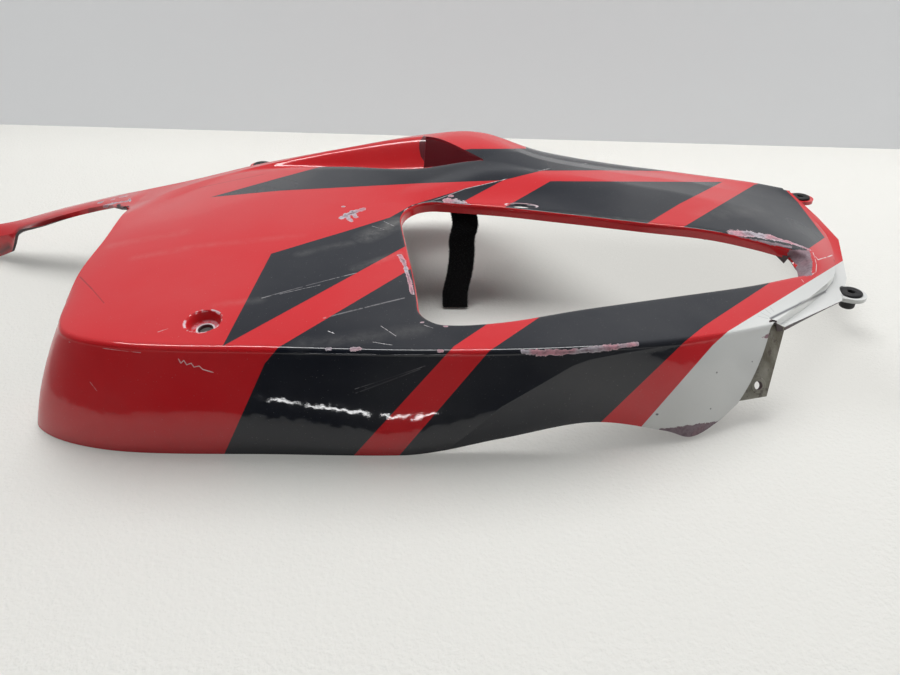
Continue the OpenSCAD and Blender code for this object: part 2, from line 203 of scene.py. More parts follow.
def new_object(
    name: str, verts: Sequence[Point], faces: Sequence[Sequence[int]], slots: Sequence[Material],
    indices: Sequence[int] = (),
) -> Object:
    """Makes a mesh object at the origin and links it to the scene.

    Args:
        name: the piece's name.
        verts: points in metres in the row frame.
        faces: vertex numbers of each face.
        slots: its materials.
        indices: material number of each face, if there is more than one.

    Returns:
        The new object.
    """
    mesh = bpy.data.meshes.new(name)
    mesh.from_pydata([tuple(v) for v in verts], [], [tuple(f) for f in faces])
    for material in slots:
        mesh.materials.append(material)
    if indices:
        mesh.polygons.foreach_set("material_index", list(indices))
    mesh.update()
    obj = bpy.data.objects.new(name, mesh)
    bpy.context.scene.collection.objects.link(obj)
    return obj


def baked(obj: Object) -> Object:
    """Replaces an object's mesh by its evaluated result and removes its modifiers."""
    graph = bpy.context.evaluated_depsgraph_get()
    mesh = bpy.data.meshes.new_from_object(obj.evaluated_get(graph))
    old = obj.data
    obj.modifiers.clear()
    obj.data = mesh
    mesh.name = obj.name
    if old.users == 0:
        bpy.data.meshes.remove(old)
    return obj


def shade(obj: Object, angle_deg: float = 35.0) -> None:
    """Shades an object smooth, with edges sharper than the angle kept."""
    mesh = obj.data
    mesh.shade_smooth()
    mesh.set_sharp_from_angle(angle=math.radians(angle_deg))


@contextmanager
def edited(obj: Object) -> Iterator[bmesh.types.BMesh]:
    """Opens an object's mesh for editing and writes it back at the end."""
    bm = bmesh.new()
    bm.from_mesh(obj.data)
    yield bm
    bm.to_mesh(obj.data)
    bm.free()


def tidy(obj: Object, distance: float = 1e-6) -> None:
    """Merges points that are closer than the distance and drops loose ones."""
    with edited(obj) as bm:
        bmesh.ops.remove_doubles(bm, verts=bm.verts, dist=distance)
        bmesh.ops.dissolve_degenerate(bm, edges=bm.edges, dist=distance)
        loose = [v for v in bm.verts if not v.link_faces]
        bmesh.ops.delete(bm, geom=loose, context="VERTS")


def outwards(obj: Object) -> None:
    """Turns every face of a closed mesh outwards."""
    with edited(obj) as bm:
        bmesh.ops.recalc_face_normals(bm, faces=bm.faces)


def revolved(
    profile: Sequence[Pixel], segments: int, at: Matrix, closed: bool = True
) -> tuple[list[Vector], list[tuple[int, ...]]]:
    """Turns a profile about the Z axis.

    Args:
        profile: line of (radius, height) in mm, with the solid on its left.
        segments: steps round the axis.
        at: place of the axis in the drawing frame.
        closed: whether the profile is a loop; if not, it runs from the axis to the axis.

    Returns:
        Points in mm and the faces.
    """
    n = len(profile)
    verts = [
        at @ Vector((r * math.cos(a), r * math.sin(a), z))
        for a in (2 * math.pi * k / segments for k in range(segments))
        for r, z in profile
    ]
    faces = []
    for k in range(segments):
        m = (k + 1) % segments
        for q in range(n if closed else n - 1):
            w = (q + 1) % n
            faces.append((k * n + q, m * n + q, m * n + w, k * n + w))
    return verts, faces


# --------------------------------------------------------------------------- shader helper


def srgb(r: float, g: float, b: float) -> Colour:
    """Returns an 8-bit display colour as a linear colour."""
    def one(c: float) -> float:
        """One channel."""
        c /= 255
        return c / 12.92 if c <= 0.04045 else ((c + 0.055) / 1.055) ** 2.4

    return one(r), one(g), one(b), 1.0


class Nodes:
    """Short calls that fill one node tree."""

    def __init__(self, tree: bpy.types.NodeTree) -> None:
        """Keeps the tree."""
        self.tree = tree

    def node(self, kind: str, **settings) -> Node:
        """Adds a node and sets its properties."""
        made = self.tree.nodes.new(kind)
        for key, value in settings.items():
            setattr(made, key, value)
        return made

    def feed(self, socket: Socket, value) -> None:
        """Links a socket, or sets its value if a plain value is given."""
        if isinstance(value, Socket):
            self.tree.links.new(value, socket)
        else:
            socket.default_value = value


class Graph(Nodes):
    """The shader node tree of one material."""

    def __init__(self, name: str) -> None:
        """Makes an empty material with its output."""
        self.material = bpy.data.materials.new(name)
        self.material.use_nodes = True
        super().__init__(self.material.node_tree)
        self.tree.nodes.clear()
        self.output = self.tree.nodes.new("ShaderNodeOutputMaterial")
        self._object: Socket | None = None

    @property
    def position(self) -> Socket:
        """Object coordinates, which here are the row frame in metres."""
        if self._object is None:
            self._object = self.node("ShaderNodeTexCoord").outputs["Object"]
        return self._object

    def math(self, op: str, *values, clamp: bool = False) -> Socket:
        """Adds a Math node.

        Args:
            op: its operation.
            values: up to three sockets or numbers.
            clamp: whether the result stays within 0 and 1.

        Returns:
            The result's socket.
        """
        made = self.node("ShaderNodeMath", operation=op, use_clamp=clamp)
        for socket, value in zip(made.inputs, values):
            self.feed(socket, value)
        return made.outputs[0]

    def times(self, *values, clamp: bool = False) -> Socket:
        """Multiplies two values."""
        return self.math("MULTIPLY", *values, clamp=clamp)

    def plus(self, *values, clamp: bool = False) -> Socket:
        """Adds two values."""
        return self.math("ADD", *values, clamp=clamp)

    def most(self, *values) -> Socket:
        """Returns the larger of two values."""
        return self.math("MAXIMUM", *values)

    def dot(self, *values) -> Socket:
        """Returns the dot product of two vectors."""
        return self.vector("DOT_PRODUCT", *values)

    def vector(self, op: str, *values) -> Socket:
        """Adds a Vector Math node and returns the output that its operation uses."""
        made = self.node("ShaderNodeVectorMath", operation=op)
        for socket, value in zip(made.inputs, values):
            self.feed(socket, value)
        if op == "SCALE":
            self.feed(made.inputs["Scale"], values[1])
        return made.outputs["Value" if op in ("DOT_PRODUCT", "DISTANCE", "LENGTH") else "Vector"]

    def _noise(self, scale: float, detail: float, rough: float, warp: float, at) -> Node:
        """Adds a noise texture on the piece."""
        made = self.node("ShaderNodeTexNoise")
        self.feed(made.inputs["Vector"], self.position if at is None else at)
        for name, value in (
            ("Scale", scale), ("Detail", detail), ("Roughness", rough), ("Distortion", warp)
        ):
            made.inputs[name].default_value = value
        return made

    def noise(
        self, scale: float, detail: float = 3.0, rough: float = 0.5, at=None, warp: float = 0.0
    ) -> Socket:
        """Returns a noise pattern with values from 0 to 1."""
        return self._noise(scale, detail, rough, warp, at).outputs[0]

    def waves(self, scale: float, detail: float, reach: Point) -> Socket:
        """Returns a vector that swings about zero, by up to half the reach on each axis."""
        colour = self._noise(scale, detail, 0.5, 0.0, None).outputs["Color"]
        return self.vector("MULTIPLY", self.vector("SUBTRACT", colour, (0.5, 0.5, 0.5)), reach)

    def stretched(self, scale: Point, turn_deg: Point = (0, 0, 0)) -> Socket:
        """Returns object coordinates scaled unevenly, for streaks."""
        made = self.node("ShaderNodeMapping")
        self.feed(made.inputs["Vector"], self.position)
        made.inputs["Rotation"].default_value = [math.radians(a) for a in turn_deg]
        made.inputs["Scale"].default_value = scale
        return made.outputs[0]

    def span(self, value, low: float, high: float, smooth: bool = True) -> Socket:
        """Returns 0 below low and 1 above high; low may be the larger."""
        made = self.node("ShaderNodeMapRange", interpolation_type="SMOOTHSTEP" if smooth else "LINEAR")
        self.feed(made.inputs["Value"], value)
        made.inputs["From Min"].default_value = low
        made.inputs["From Max"].default_value = high
        return made.outputs["Result"]

    def blend(self, share, a, b) -> Socket:
        """Returns colour a where share is 0 and colour b where it is 1."""
        made = self.node("ShaderNodeMix", data_type="RGBA")
        colours = [s for s in made.inputs if s.type == "RGBA"]
        self.feed(made.inputs[0], share)
        self.feed(colours[0], a)
        self.feed(colours[1], b)
        return [s for s in made.outputs if s.type == "RGBA"][0]

    def many(self, op: str, values: Sequence) -> Socket:
        """Joins several values by one Math operation."""
        result = values[0]
        for value in values[1:]:
            result = self.math(op, result, value)
        return result

    def bump(self, height, distance: float, strength: float = 1.0) -> Socket:
        """Adds a bump from a height value."""
        made = self.node("ShaderNodeBump")
        made.inputs["Strength"].default_value = strength
        made.inputs["Distance"].default_value = distance
        self.feed(made.inputs["Height"], height)
        return made.outputs["Normal"]

    def _lay_over(self, share: Socket, shader: Node) -> None:
        """Mixes a second shader into the finished surface."""
        end, both = self.output.inputs["Surface"], self.node("ShaderNodeMixShader")
        for socket, value in zip(both.inputs, (share, end.links[0].from_socket, shader.outputs[0])):
            self.feed(socket, value)
        self.feed(end, both.outputs[0])

    def glow(self, colour, share) -> None:
        """Lets the camera and mirroring surfaces see a share of a plain colour, for the stage only."""
        seen, flat = self.node("ShaderNodeLightPath"), self.node("ShaderNodeEmission")
        self.feed(flat.inputs["Color"], colour)
        sees = self.many(
            "MAXIMUM", [seen.outputs[f"Is {kind} Ray"] for kind in ("Camera", "Glossy", "Transmission")]
        )
        self._lay_over(self.math("MULTIPLY", sees, share), flat)

    def one_sided(self) -> None:
        """Makes the back of every face clear, so that a backdrop hides nothing from behind."""
        self._lay_over(
            self.node("ShaderNodeNewGeometry").outputs["Backfacing"], self.node("ShaderNodeBsdfTransparent")
        )

    def surface(self, **values) -> Material:
        """Adds the Principled shader with the given inputs and finishes the material.

        Args:
            values: input names with underscores for spaces, and a socket or value each.

        Returns:
            The finished material.
        """
        shader = self.node("ShaderNodeBsdfPrincipled")
        for key, value in values.items():
            self.feed(shader.inputs[key.replace("_", " ")], value)
        self.tree.links.new(shader.outputs[0], self.output.inputs["Surface"])
        return self.material


# --------------------------------------------------------------------------- livery


class Region(Enum):
    """Which finish a face of the skin takes; the value is its material slot."""

    LIVERY = 0
    PLAIN = 1
    INNER = 2
    EDGE = 3
    BARE = 4
    WALL = 5


@dataclass(frozen=True)
class Border:
    """One border of a painted field: a chain of points seen from the photograph's viewpoint.

    The field lies on the right of the chain as it runs. Each stretch is the plane
    through two of its points and the viewpoint, so it follows any form of the skin.
    A chain turns one way only.
    """

    chain: tuple[Pixel, ...]

    def planes(self, view: Viewpoint) -> list[Vector]:
        """Returns the unit normals of its planes, pointing into the field."""
        rays = [view.ray(p) for p in self.chain]
        return [a.cross(b).normalized() for a, b in zip(rays, rays[1:])]

    @property
    def join(self) -> str:
        """How its planes join: all of them where the field bulges, any where it is hollow."""
        c = self.chain
        turns = [
            (b[0] - a[0]) * (d[1] - b[1]) - (b[1] - a[1]) * (d[0] - b[0])
            for a, b, d in zip(c, c[1:], c[2:])
        ]
        if turns and min(turns) < -1 and max(turns) > 1:
            LOG.warning("chain from %s turns both ways", c[0])
        return "MINIMUM" if sum(turns) >= 0 else "MAXIMUM"


Field = tuple[Border, ...]


def area(*chains: tuple[Pixel, ...]) -> Field:
    """Returns the field that lies on the right of every chain."""
    return tuple(Border(c) for c in chains)


@dataclass(frozen=True)
class Livery:
    """Racing stripes of the fairing: black and silver fields on a red base."""

    dark: tuple[Field, ...] = (
        # wedge on the rear face, the hood and the strip over the shoulder band
        area(
            ((760, 172.6), (611, 170.3), (541.8, 170.7), (502.7, 180.3)),
            ((502.7, 180.3), (421, 183.3), (280, 190.7), (210.4, 197.2)),
            ((210.4, 197.2), (280, 177.7), (318.6, 167.3), (471, 148.9), (526, 148.5), (760, 149.5)),
        ),
        # far side of the shoulder, up to its outline
        area(((526, 160), (526, 100)), ((760, 172.6), (611, 170.3), (500, 170.5))),
        # facet between the crest and the shoulder band
        area(
            ((390, 217.4), (411.7, 205.2), (465.9, 188.4), (502.7, 180)),
            ((502.7, 180.5), (463.7, 201.4), (430, 219)),
            ((600, 236), (380, 236)),
        ),
        # parallelogram left of the vent
        area(
            ((222.4, 346.3), (271.3, 253.6)),
            ((271.3, 253.6), (349.7, 230), (390, 217.4), (460, 178)),
            ((440, 227.4), (222.4, 346.3)), ((411.7, 205.2), (411.7, 260)),
        ),
        # field between the two middle stripes, over the face and down the wall
        area(
            ((224.8, 453), (264.8, 363.3), (278.2, 347.5), (470, 233.5)),
            ((505, 312.3), (453.9, 346.3), (355.7, 453.5)),
            ((380, 247), (800, 264)),
        ),
        # long field between the middle stripe and the front stripe
        area(
            ((401.8, 452.5), (489, 351.2), (580, 289.9)),
            ((790, 269.6), (703.9, 326.2), (685.5, 341), (600.6, 422.4)),
            ((380, 247), (800, 264)),
        ),
        # first field of the shoulder
        area(
            ((500, 232), (488.5, 216.6), (550.5, 181.1), (722.4, 181.9)),
            ((722.4, 181.9), (680, 203.6), (622, 238.5)),
            ((660, 241), (500, 232)),
        ),
        # second field of the shoulder
        area(
            ((660, 241), (754.2, 184.8)),
            ((754.2, 184.8), (770, 180), (786, 190.2), (798.1, 202.4), (824.8, 237.5)),
            ((824.8, 237.5), (810.3, 247.5), (800, 254.6)),
            ((812, 258), (660, 240)),
        ),
    )
    pale: tuple[Field, ...] = (
        area(
            ((642.9, 424.9), (713, 345), (727.8, 331.5), (740, 324)),
            ((727.8, 331.5), (803.4, 285), (834.5, 257.5)),
            ((834.5, 257.5), (843, 252.7), (900, 220.5)),
        ),
    )
    # upper and rear part of the front wall, which leans back and mirrors the room
    leaning: tuple[Field, ...] = (
        area((
            (637.4, 350.5), (614, 354.6), (590.5, 359.3), (572.9, 365.7), (555.3, 376), (502.5, 406.8), (458.5, 442),
        )),
    )
    # patches where the paint is gone and the bare moulding shows
    bare: tuple[Field, ...] = (
        area(
            ((640, 429.2), (669.5, 428.2), (693.3, 424.6), (716.5, 421.6), (740, 418)),
            ((722, 400), (722, 460)), ((740, 460), (640, 460)), ((659, 460), (659, 400)),
        ),
        area(
            ((787.6, 262), (787.2, 253.6), (790.5, 249.4), (809.4, 250.4)),
            ((809.4, 250.4), (812.5, 262), (811.8, 275.8)),
            ((811.8, 275.8), (791.2, 276.6)), ((791.2, 276.6), (797, 265), (787.6, 256)),
        ),
        area(((761, 338), (771, 332.5)), ((770, 328), (770, 345)), ((773, 339.8), (761, 337))),
        area(((754, 239), (792, 246)), ((792, 240), (792, 250)), ((792, 248.3), (776, 246), (754, 240.6))),
    )
    # inside of the hood's mouth, which lies in deep shade
    mouth: tuple[Field, ...] = (
        area(
            ((435.9, 169.5), (423.8, 161.2), (420.8, 156.5), (419.1, 148.5), (419.4, 141.8), (423.6, 135.4)),
            ((423.6, 135.4), (484, 160)),
            ((494, 172.5), (435.9, 169.5)),
        ),
    )

    @property
    def wall(self) -> tuple[Field, ...]:
        """The dark fields that run down the front wall."""
        return self.dark[4:6]


class MarkKind(Enum):
    """Kinds of wear on the paint, and of painted shade and highlight lines."""

    CHIP = "chip"
    HAZE = "haze"
    # pale lines: scratches, and painted highlights
    SCRATCH_AND_HIGHLIGHT = "scratch_and_highlight"
    # dark lines: painted shade in creases, gaps and under edges, with cracks and dirt
    CREASE = "shade_and_dirt"


@dataclass(frozen=True)
class Mark:
    """One place of wear or of painted shade or highlight, a stretch between two places of the photograph, in pixels."""

    start: Pixel
    end: Pixel
    radius: float
    strength: float


# wear, painted shade and painted highlights by kind, a chain of points per row: radius in pixels, strength, then the
# points
WEAR_AND_PAINTED_LIGHT: dict[MarkKind, tuple[tuple, ...]] = {
    MarkKind.CHIP: (
        # comb-shaped chip on the face
        (5.2, 1, (341.5, 217.5), (363, 209)), (4.2, 1, (345, 214.5), (351, 221)),
        (4, 1, (352, 211.5), (356, 217)), (2.8, 1, (343, 206.5), (344, 206.5)),
        # rim of the vent at its wide end
        (9, 1, (448, 201), (461, 203.6)), (3.4, 1, (461, 204), (470, 206)),
        (3, 1, (450, 196), (452.5, 196)),
        # rim of the vent near its tip
        (9, 1, (733, 233.2), (752, 234)), (8, 1, (752, 234.2), (772, 237.5)),
        (5, 1, (772, 238.2), (790, 242.6)), (3.2, 1, (790, 242.6), (809, 249.5)),
        # left edge of the vent
        (4.6, 1, (400, 255.5), (404, 262)), (3.4, 1, (404, 262), (410, 283), (412.5, 294)),
        # rubbed fold
        (4.2, 1, (523, 351.5), (538, 353)), (5.8, 1, (538, 353), (562, 352.5)),
        (4.6, 1, (562, 352.5), (590, 350)), (5.2, 1, (590, 350), (618, 346.5)),
        (3.8, 1, (618, 346.5), (637, 343.5)), (4.2, 1, (352, 348.6), (359, 348.6)),
        (3, 1, (327, 349), (330, 349)), (3.2, 1, (439, 350.8), (442, 350.8)),
        # small chips
        (2.8, 1, (421.5, 322.5), (423, 322.3)), (2.4, 1, (445, 326.3), (447, 326.3)),
        (1.8, 1, (588, 221), (594, 221.6)), (2.2, 1, (800, 196.5), (803, 197.5)),
        (2.4, 1, (99, 202.5), (102, 202)), (2.8, 1, (112, 199.5), (114, 199)),
        (3, 1, (121, 197), (127, 196)), (3, 0.9, (104, 206), (128, 201)),
        (2.2, 1, (129, 199), (133, 204)),
    ),
    MarkKind.HAZE: (
        # dull and cloudy patches
        (15, 0.9, (366, 237), (398, 222)), (8, 0.4, (300, 254), (350, 243)),
        (8, 0.5, (355, 268), (398, 254)), (5, 0.5, (560, 214), (650, 222)),
        (14, 0.35, (700, 215), (760, 210)), (9, 0.45, (110, 246), (185, 232)),
        (8, 0.4, (135, 258), (200, 246)), (8, 0.3, (200, 246), (300, 236)),
        (8, 0.3, (215, 305), (260, 300)), (14, 0.3, (300, 345), (420, 330)),
    ),
    MarkKind.SCRATCH_AND_HIGHLIGHT: (
        # light scratches, and a painted highlight line below the fold
        (1.2, 0.34, (262, 298), (356, 273)), (0.6, 0.4, (280, 294), (320, 285)),
        (2, 0.25, (324, 318), (404, 298)), (0.45, 0.8, (381, 326), (396, 336)),
        (0.45, 0.8, (328, 331), (334, 333.5)), (0.4, 0.8, (424, 325), (433, 328)),
        (0.4, 0.6, (373, 342), (392, 345)), (0.9, 0.22, (355, 389), (425, 366)),
        (0.4, 0.8, (158, 332), (168, 328.6)), (0.5, 0.5, (384, 221.5), (394, 226)),
        (0.5, 0.4, (372, 226), (384, 229.5)), (0.5, 0.5, (69, 342), (106, 348.7)),
        (0.5, 0.55, (106, 348.7), (140.6, 352.7)), (0.5, 0.4, (90, 382), (97, 391)),
        (1.6, 0.14, (356, 393), (420, 369)),
        # zigzag scratch on the wall
        (0.55, 1.2, (178.5, 359.1), (180.8, 363.2)), (0.5, 1.2, (180.8, 363.2), (183.8, 360.4)),
        (0.55, 1.2, (183.8, 360.4), (186.6, 364.8)), (0.5, 1.2, (186.6, 364.8), (191.2, 363.2)),
        (0.55, 1.2, (191.2, 363.2), (194, 367.1)), (0.5, 1.2, (194, 367.1), (199.2, 366)),
        (0.55, 1.2, (199.2, 366), (202.7, 369.4)), (0.6, 1.3, (202.7, 369.4), (213, 372.4)),
        # white scuffs at both ends of the vent
        (0.5, 1.2, (403, 216), (404.2, 210.5), (408, 208)),
        (0.45, 1.2, (402, 215.5), (406.5, 213), (408, 209.5)),
        (0.6, 1.2, (807.3, 253.6), (810.9, 263.8), (811.4, 273)),
        (0.5, 1.2, (813, 252.6), (816.5, 264.8), (816, 271.9), (811.9, 274.5)),
        (0.6, 1.2, (815.5, 256.6), (818, 259.7), (827.2, 257.1), (832.3, 255.1)),
        (0.5, 1, (791.5, 277), (801.7, 279.6), (803.8, 282.1)),
        # painted highlight line along the crest
        (0.7, 0.6, (412, 205.4), (439, 198.6)), (0.7, 0.5, (439, 198.6), (466, 188.6)),
        (0.7, 0.6, (466, 188.6), (502.7, 180)), (0.8, 0.75, (502.7, 180), (545, 169.6)),
        (0.8, 0.6, (545, 169.6), (586, 163.6)),
    ),
    MarkKind.CREASE: (
        # painted shade: fine dark lines in creases and gaps of the moulding
        (1, 0.8, (80, 277), (92, 289)), (0.9, 0.6, (92, 289), (104, 303)),
        (0.8, 0.9, (135, 202.3), (200, 187.6)), (0.8, 0.8, (200, 187.6), (262, 174.6)),
        (0.8, 0.7, (262, 174.6), (318, 166.6)), (1.2, 0.4, (686, 181), (722, 178)),
        (1.3, 1, (751, 236.2), (780.3, 241.3)), (1.4, 1, (780.3, 241.3), (792.6, 245.4), (808.9, 251)),
        # painted shadow along the edge of the silver step; its hairline cracks and dark spots
        (2, 1.3, (771, 318.5), (800, 304.2)), (2.2, 1.3, (800, 304.2), (825, 291.5)),
        (1.3, 1.1, (825, 291.5), (832.5, 282)), (0.9, 0.9, (832.5, 282), (834, 260)),
        (0.5, 0.6, (758, 316), (768, 318.5)), (0.5, 0.6, (761, 312.5), (769, 316.5)),
        (0.5, 0.6, (765.5, 309.5), (771, 314)), (0.5, 0.6, (770.5, 307.5), (774, 311.5)),
        (1.6, 1.6, (656.8, 414.3), (657.4, 414.5)), (1.2, 1.4, (716.7, 372.5), (717, 372.6)),
        (1.1, 1.3, (710.5, 408.7), (710.8, 408.8)), (0.9, 1.2, (752, 361.7), (752.3, 361.8)),
        # painted shade along the lower edge of the arm and its foot, with grime
        (6.5, 1, (19, 230.5), (60, 220)), (5.5, 1, (60, 220), (118, 206)), (6, 1, (1, 252), (9, 247)),
        (3.5, 0.8, (90, 211), (112, 206)),
    ),
}


def marks(kind: MarkKind) -> Iterator[Mark]:
    """Yields every stretch of one kind of wear, painted shade or painted highlight."""
    for radius, strength, *points in WEAR_AND_PAINTED_LIGHT[kind]:
        for start, end in zip(points, points[1:]):
            yield Mark(start, end, radius, strength)


# --------------------------------------------------------------------------- finishes


@dataclass(frozen=True)
class WearAndPaintedLight:
    """How far each kind of wear, painted shade and painted highlight reaches over the paint: sockets, or plain numbers
    where there is none.

    bare is the distance inside a bare patch in metres, rim is how worn the rims of the recesses
    are, and lean is how far the clear coat leans back from the shape under it, if it does.
    """

    bare: Socket
    rim: Socket
    lean: Socket | None = None
    chips: Socket | float = 0.0
    haze: Socket | float = 0.0
    scratches_and_highlights: Socket | float = 0.0
    shade_and_dirt_lines: Socket | float = 0.0


@dataclass(frozen=True)
class Paint:
    """Glossy clear-coated racing paint over a grey moulded substrate."""

    red: Colour = srgb(200, 20, 30)
    black: Colour = srgb(12, 17, 29)
    silver: Colour = srgb(212, 213, 211)
    shadow: Colour = srgb(92, 20, 32)
    primer: Colour = srgb(198, 146, 156)
    substrate: Colour = srgb(134, 116, 122)
    dust: Colour = srgb(176, 174, 170)
    roughness: float = 0.34
    ripple: float = 0.05
    wall_waves: Point = (0.03, 0.03, 0.05)
    border_blur: float = 0.0002
    shortest: float = 1e-4

    def _inside(self, g: Graph, sight: Socket, fields: Iterable[Field], view: Viewpoint) -> Socket:
        """Returns the distance, in metres, by which a point lies inside any of the fields."""
        shapes = []
        for shape in fields:
            parts = [g.many(b.join, [g.dot(sight, n) for n in b.planes(view)]) for b in shape]
            shapes.append(g.many("MINIMUM", parts))
        return g.many("MAXIMUM", shapes)

    def _near(self, g: Graph, mark: Mark, skin: "FairingSkin", place: Placement) -> Socket | None:
        """Returns 1 on the middle line of a mark, falling to 0 at its radius."""
        ends = [skin.seen(p, place) for p in (mark.start, mark.end)]
        if None in ends:
            LOG.warning("mark at %s misses the skin", mark.start)
            return None
        a, b = ends
        radius = mark.radius * (((a + b) / 2 - place.eye).length / place.view.focal_px)
        way = b - a
        if way.length < self.shortest:
            way = Vector((10 * self.shortest, 0, 0))
        along = g.dot(g.vector("SUBTRACT", g.position, a), way / way.length_squared)
        share = g.times(along, 1.0, clamp=True)
        foot = g.vector("ADD", g.vector("SCALE", way, share), a)
        return g.math("MULTIPLY_ADD", g.vector("DISTANCE", g.position, foot), -1.0 / radius, 1.0)

    def _marks(self, g: Graph, kind: MarkKind, skin: "FairingSkin", place: Placement, wall: bool):
        """Returns the strongest mark of one kind at each point of the wall or of the rest, from 0 to 1."""
        values = []
        for mark in marks(kind):
            if skin.touched(mark, place, wall):
                near = self._near(g, mark, skin, place)
                if near is not None:
                    values.append(g.times(near, mark.strength, clamp=True))
        return g.many("MAXIMUM", values) if values else 0.0

    def _rings(self, g: Graph, skin: "FairingSkin", place: Placement) -> tuple:
        """Returns how worn the screw recess is at its rim and round its hole."""
        m = skin.stand_at(*skin.recess_place)
        centre, axis = place.out(m.translation), m.col[2].xyz
        arm = g.vector("SUBTRACT", g.position, centre)
        height = g.dot(arm, axis)
        flat = g.vector("SUBTRACT", arm, g.vector("SCALE", axis, height))
        radius = g.vector("LENGTH", flat)
        rim = g.times(g.span(radius, 0.0112, 0.0118), g.span(radius, 0.0134, 0.0126))
        rim = g.times(rim, g.span(g.noise(150.0, 4.0, 0.6), 0.44, 0.54))
        floor = g.span(height, -0.0050, -0.0062)
        lip = g.times(g.span(radius, 0.0066, 0.0060), floor)
        streaks = g.times(g.span(g.noise(260.0, 4.0, 0.7), 0.38, 0.55), floor)
        # the oval recess on the far rim of the vent has lost the paint round its hole
        oval = SkinFeatures(skin, place).oval_recess()
        arm = g.vector("SUBTRACT", g.position, place.out(oval.translation))
        ways = [oval.col[k].xyz.normalized() / (oval.col[k].xyz.length * MM) for k in (0, 1)]
        a, b = (g.dot(arm, way) for way in ways)
        ring = g.math("SQRT", g.plus(g.times(a, a), g.times(b, b)))
        ring = g.times(g.span(ring, 8.0, 8.7), g.span(ring, 10.0, 9.4))
        rim = g.most(rim, g.times(ring, g.span(g.noise(150.0, 4.0, 0.6), 0.40, 0.50)))
        return rim, lip, g.times(streaks, g.span(radius, 0.0100, 0.0088))

    def livery(self, skin: "FairingSkin", place: Placement, name: str, wall: bool = False) -> Material:
        """Builds the striped paint with its chips, haze, scratches, painted shade lines and painted highlights.

        Args:
            skin: the skin that it is for, on which the marks are placed.
            place: the placement of the drawing.
            name: its name.
            wall: whether it is for the front wall.

        Returns:
            The material.
        """
        g = Graph(name)
        sight = g.vector("SUBTRACT", g.position, place.eye)
        stripes = Livery()
        dark = self._inside(g, sight, stripes.wall if wall else stripes.dark, place.view)
        pale = self._inside(g, sight, stripes.pale, place.view)
        blur = self.border_blur
        base = g.blend(g.span(dark, -blur, blur), self.red, self.black)
        base = g.blend(g.span(pale, -blur, blur), base, self.silver)
        bare = self._inside(g, sight, stripes.bare, place.view)
        rim, _, _ = self._rings(g, skin, place)
        lean = None
        if wall:
            along = g.span(g.dot(g.position, (1.0, 0.0, 0.0)), -0.083, 0.031, False)
            lean = g.span(self._inside(g, sight, stripes.leaning, place.view), -0.0006, 0.0006)
            lean = g.times(lean, g.math("MULTIPLY_ADD", along, 0.115, 0.30))
        wear_and_light_values = [self._marks(g, kind, skin, place, wall) for kind in MarkKind]
        return self._finish(g, base, WearAndPaintedLight(bare, rim, lean, *wear_and_light_values))

    def plain(self, skin: "FairingSkin", place: Placement) -> Material:
        """Builds the plain red paint of the channel, the return flange and the skirt."""
        g = Graph("plain_paint")
        sight = g.vector("SUBTRACT", g.position, place.eye)
        bare = self._inside(g, sight, Livery().bare, place.view)
        mouth = self._inside(g, sight, Livery().mouth, place.view)
        rim, lip, streaks = self._rings(g, skin, place)
        base = g.blend(g.span(mouth, -0.0003, 0.0003), self.red, self.shadow)
        base = g.blend(g.times(streaks, 0.7), base, self.primer)
        base = g.blend(lip, base, srgb(206, 206, 208))
        return self._finish(g, base, WearAndPaintedLight(bare, rim))

    def _finish(self, g: Graph, base: Socket, wear_and_light: WearAndPaintedLight) -> Material:
        """Lays tone, wear, painted shade, painted highlights and gloss over a paint colour.

        Args:
            g: the graph to add to.
            base: colour of the paint.
            wear_and_light: how far each kind of wear, painted shade and painted highlight reaches.

        Returns:
            The finished material.
        """
        cloud = g.noise(7.0, 4.0, 0.55)
        fine = g.noise(420.0, 4.0, 0.65)
        mottled = g.noise(1500.0, 2.0, 0.6)
        tone = g.blend(g.times(g.span(cloud, 0.35, 0.75), 0.05), base, self.dust)
        speck = g.span(g.noise(900.0, 2.0, 0.5), 0.70, 0.76)
        tone = g.blend(g.times(speck, 0.2), tone, self.dust)
        # paler, duller patches with a cloudy edge
        patch = g.times(wear_and_light.haze, g.span(g.noise(60.0, 5.0, 0.7), 0.25, 0.75))
        tone = g.blend(g.times(patch, 0.36, clamp=True), tone, self.dust)
        # painted shade: dark lines in creases and gaps, along the silver step and under the arm's edge, with cracks,
        # dark spots and grime
        line = g.span(wear_and_light.shade_and_dirt_lines, 0.0, 0.45)
        tone = g.blend(
            g.times(line, g.times(wear_and_light.shade_and_dirt_lines, 0.9), clamp=True), tone,
            g.vector("MULTIPLY", tone, (0.13, 0.13, 0.15)),
        )
        # broken pale lines: scratches, and painted highlights along the crest and below the fold
        broken = g.span(g.noise(240.0, 3.0, 0.6), 0.32, 0.52)
        scratch_and_highlight = g.times(g.span(wear_and_light.scratches_and_highlights, 0.0, 0.25), broken)
        scratch_and_highlight = g.times(scratch_and_highlight, g.math("MINIMUM", g.times(wear_and_light.scratches_and_highlights, 1.6), 1.0))
        tone = g.blend(g.times(scratch_and_highlight, 0.85, clamp=True), tone, srgb(214, 210, 212))
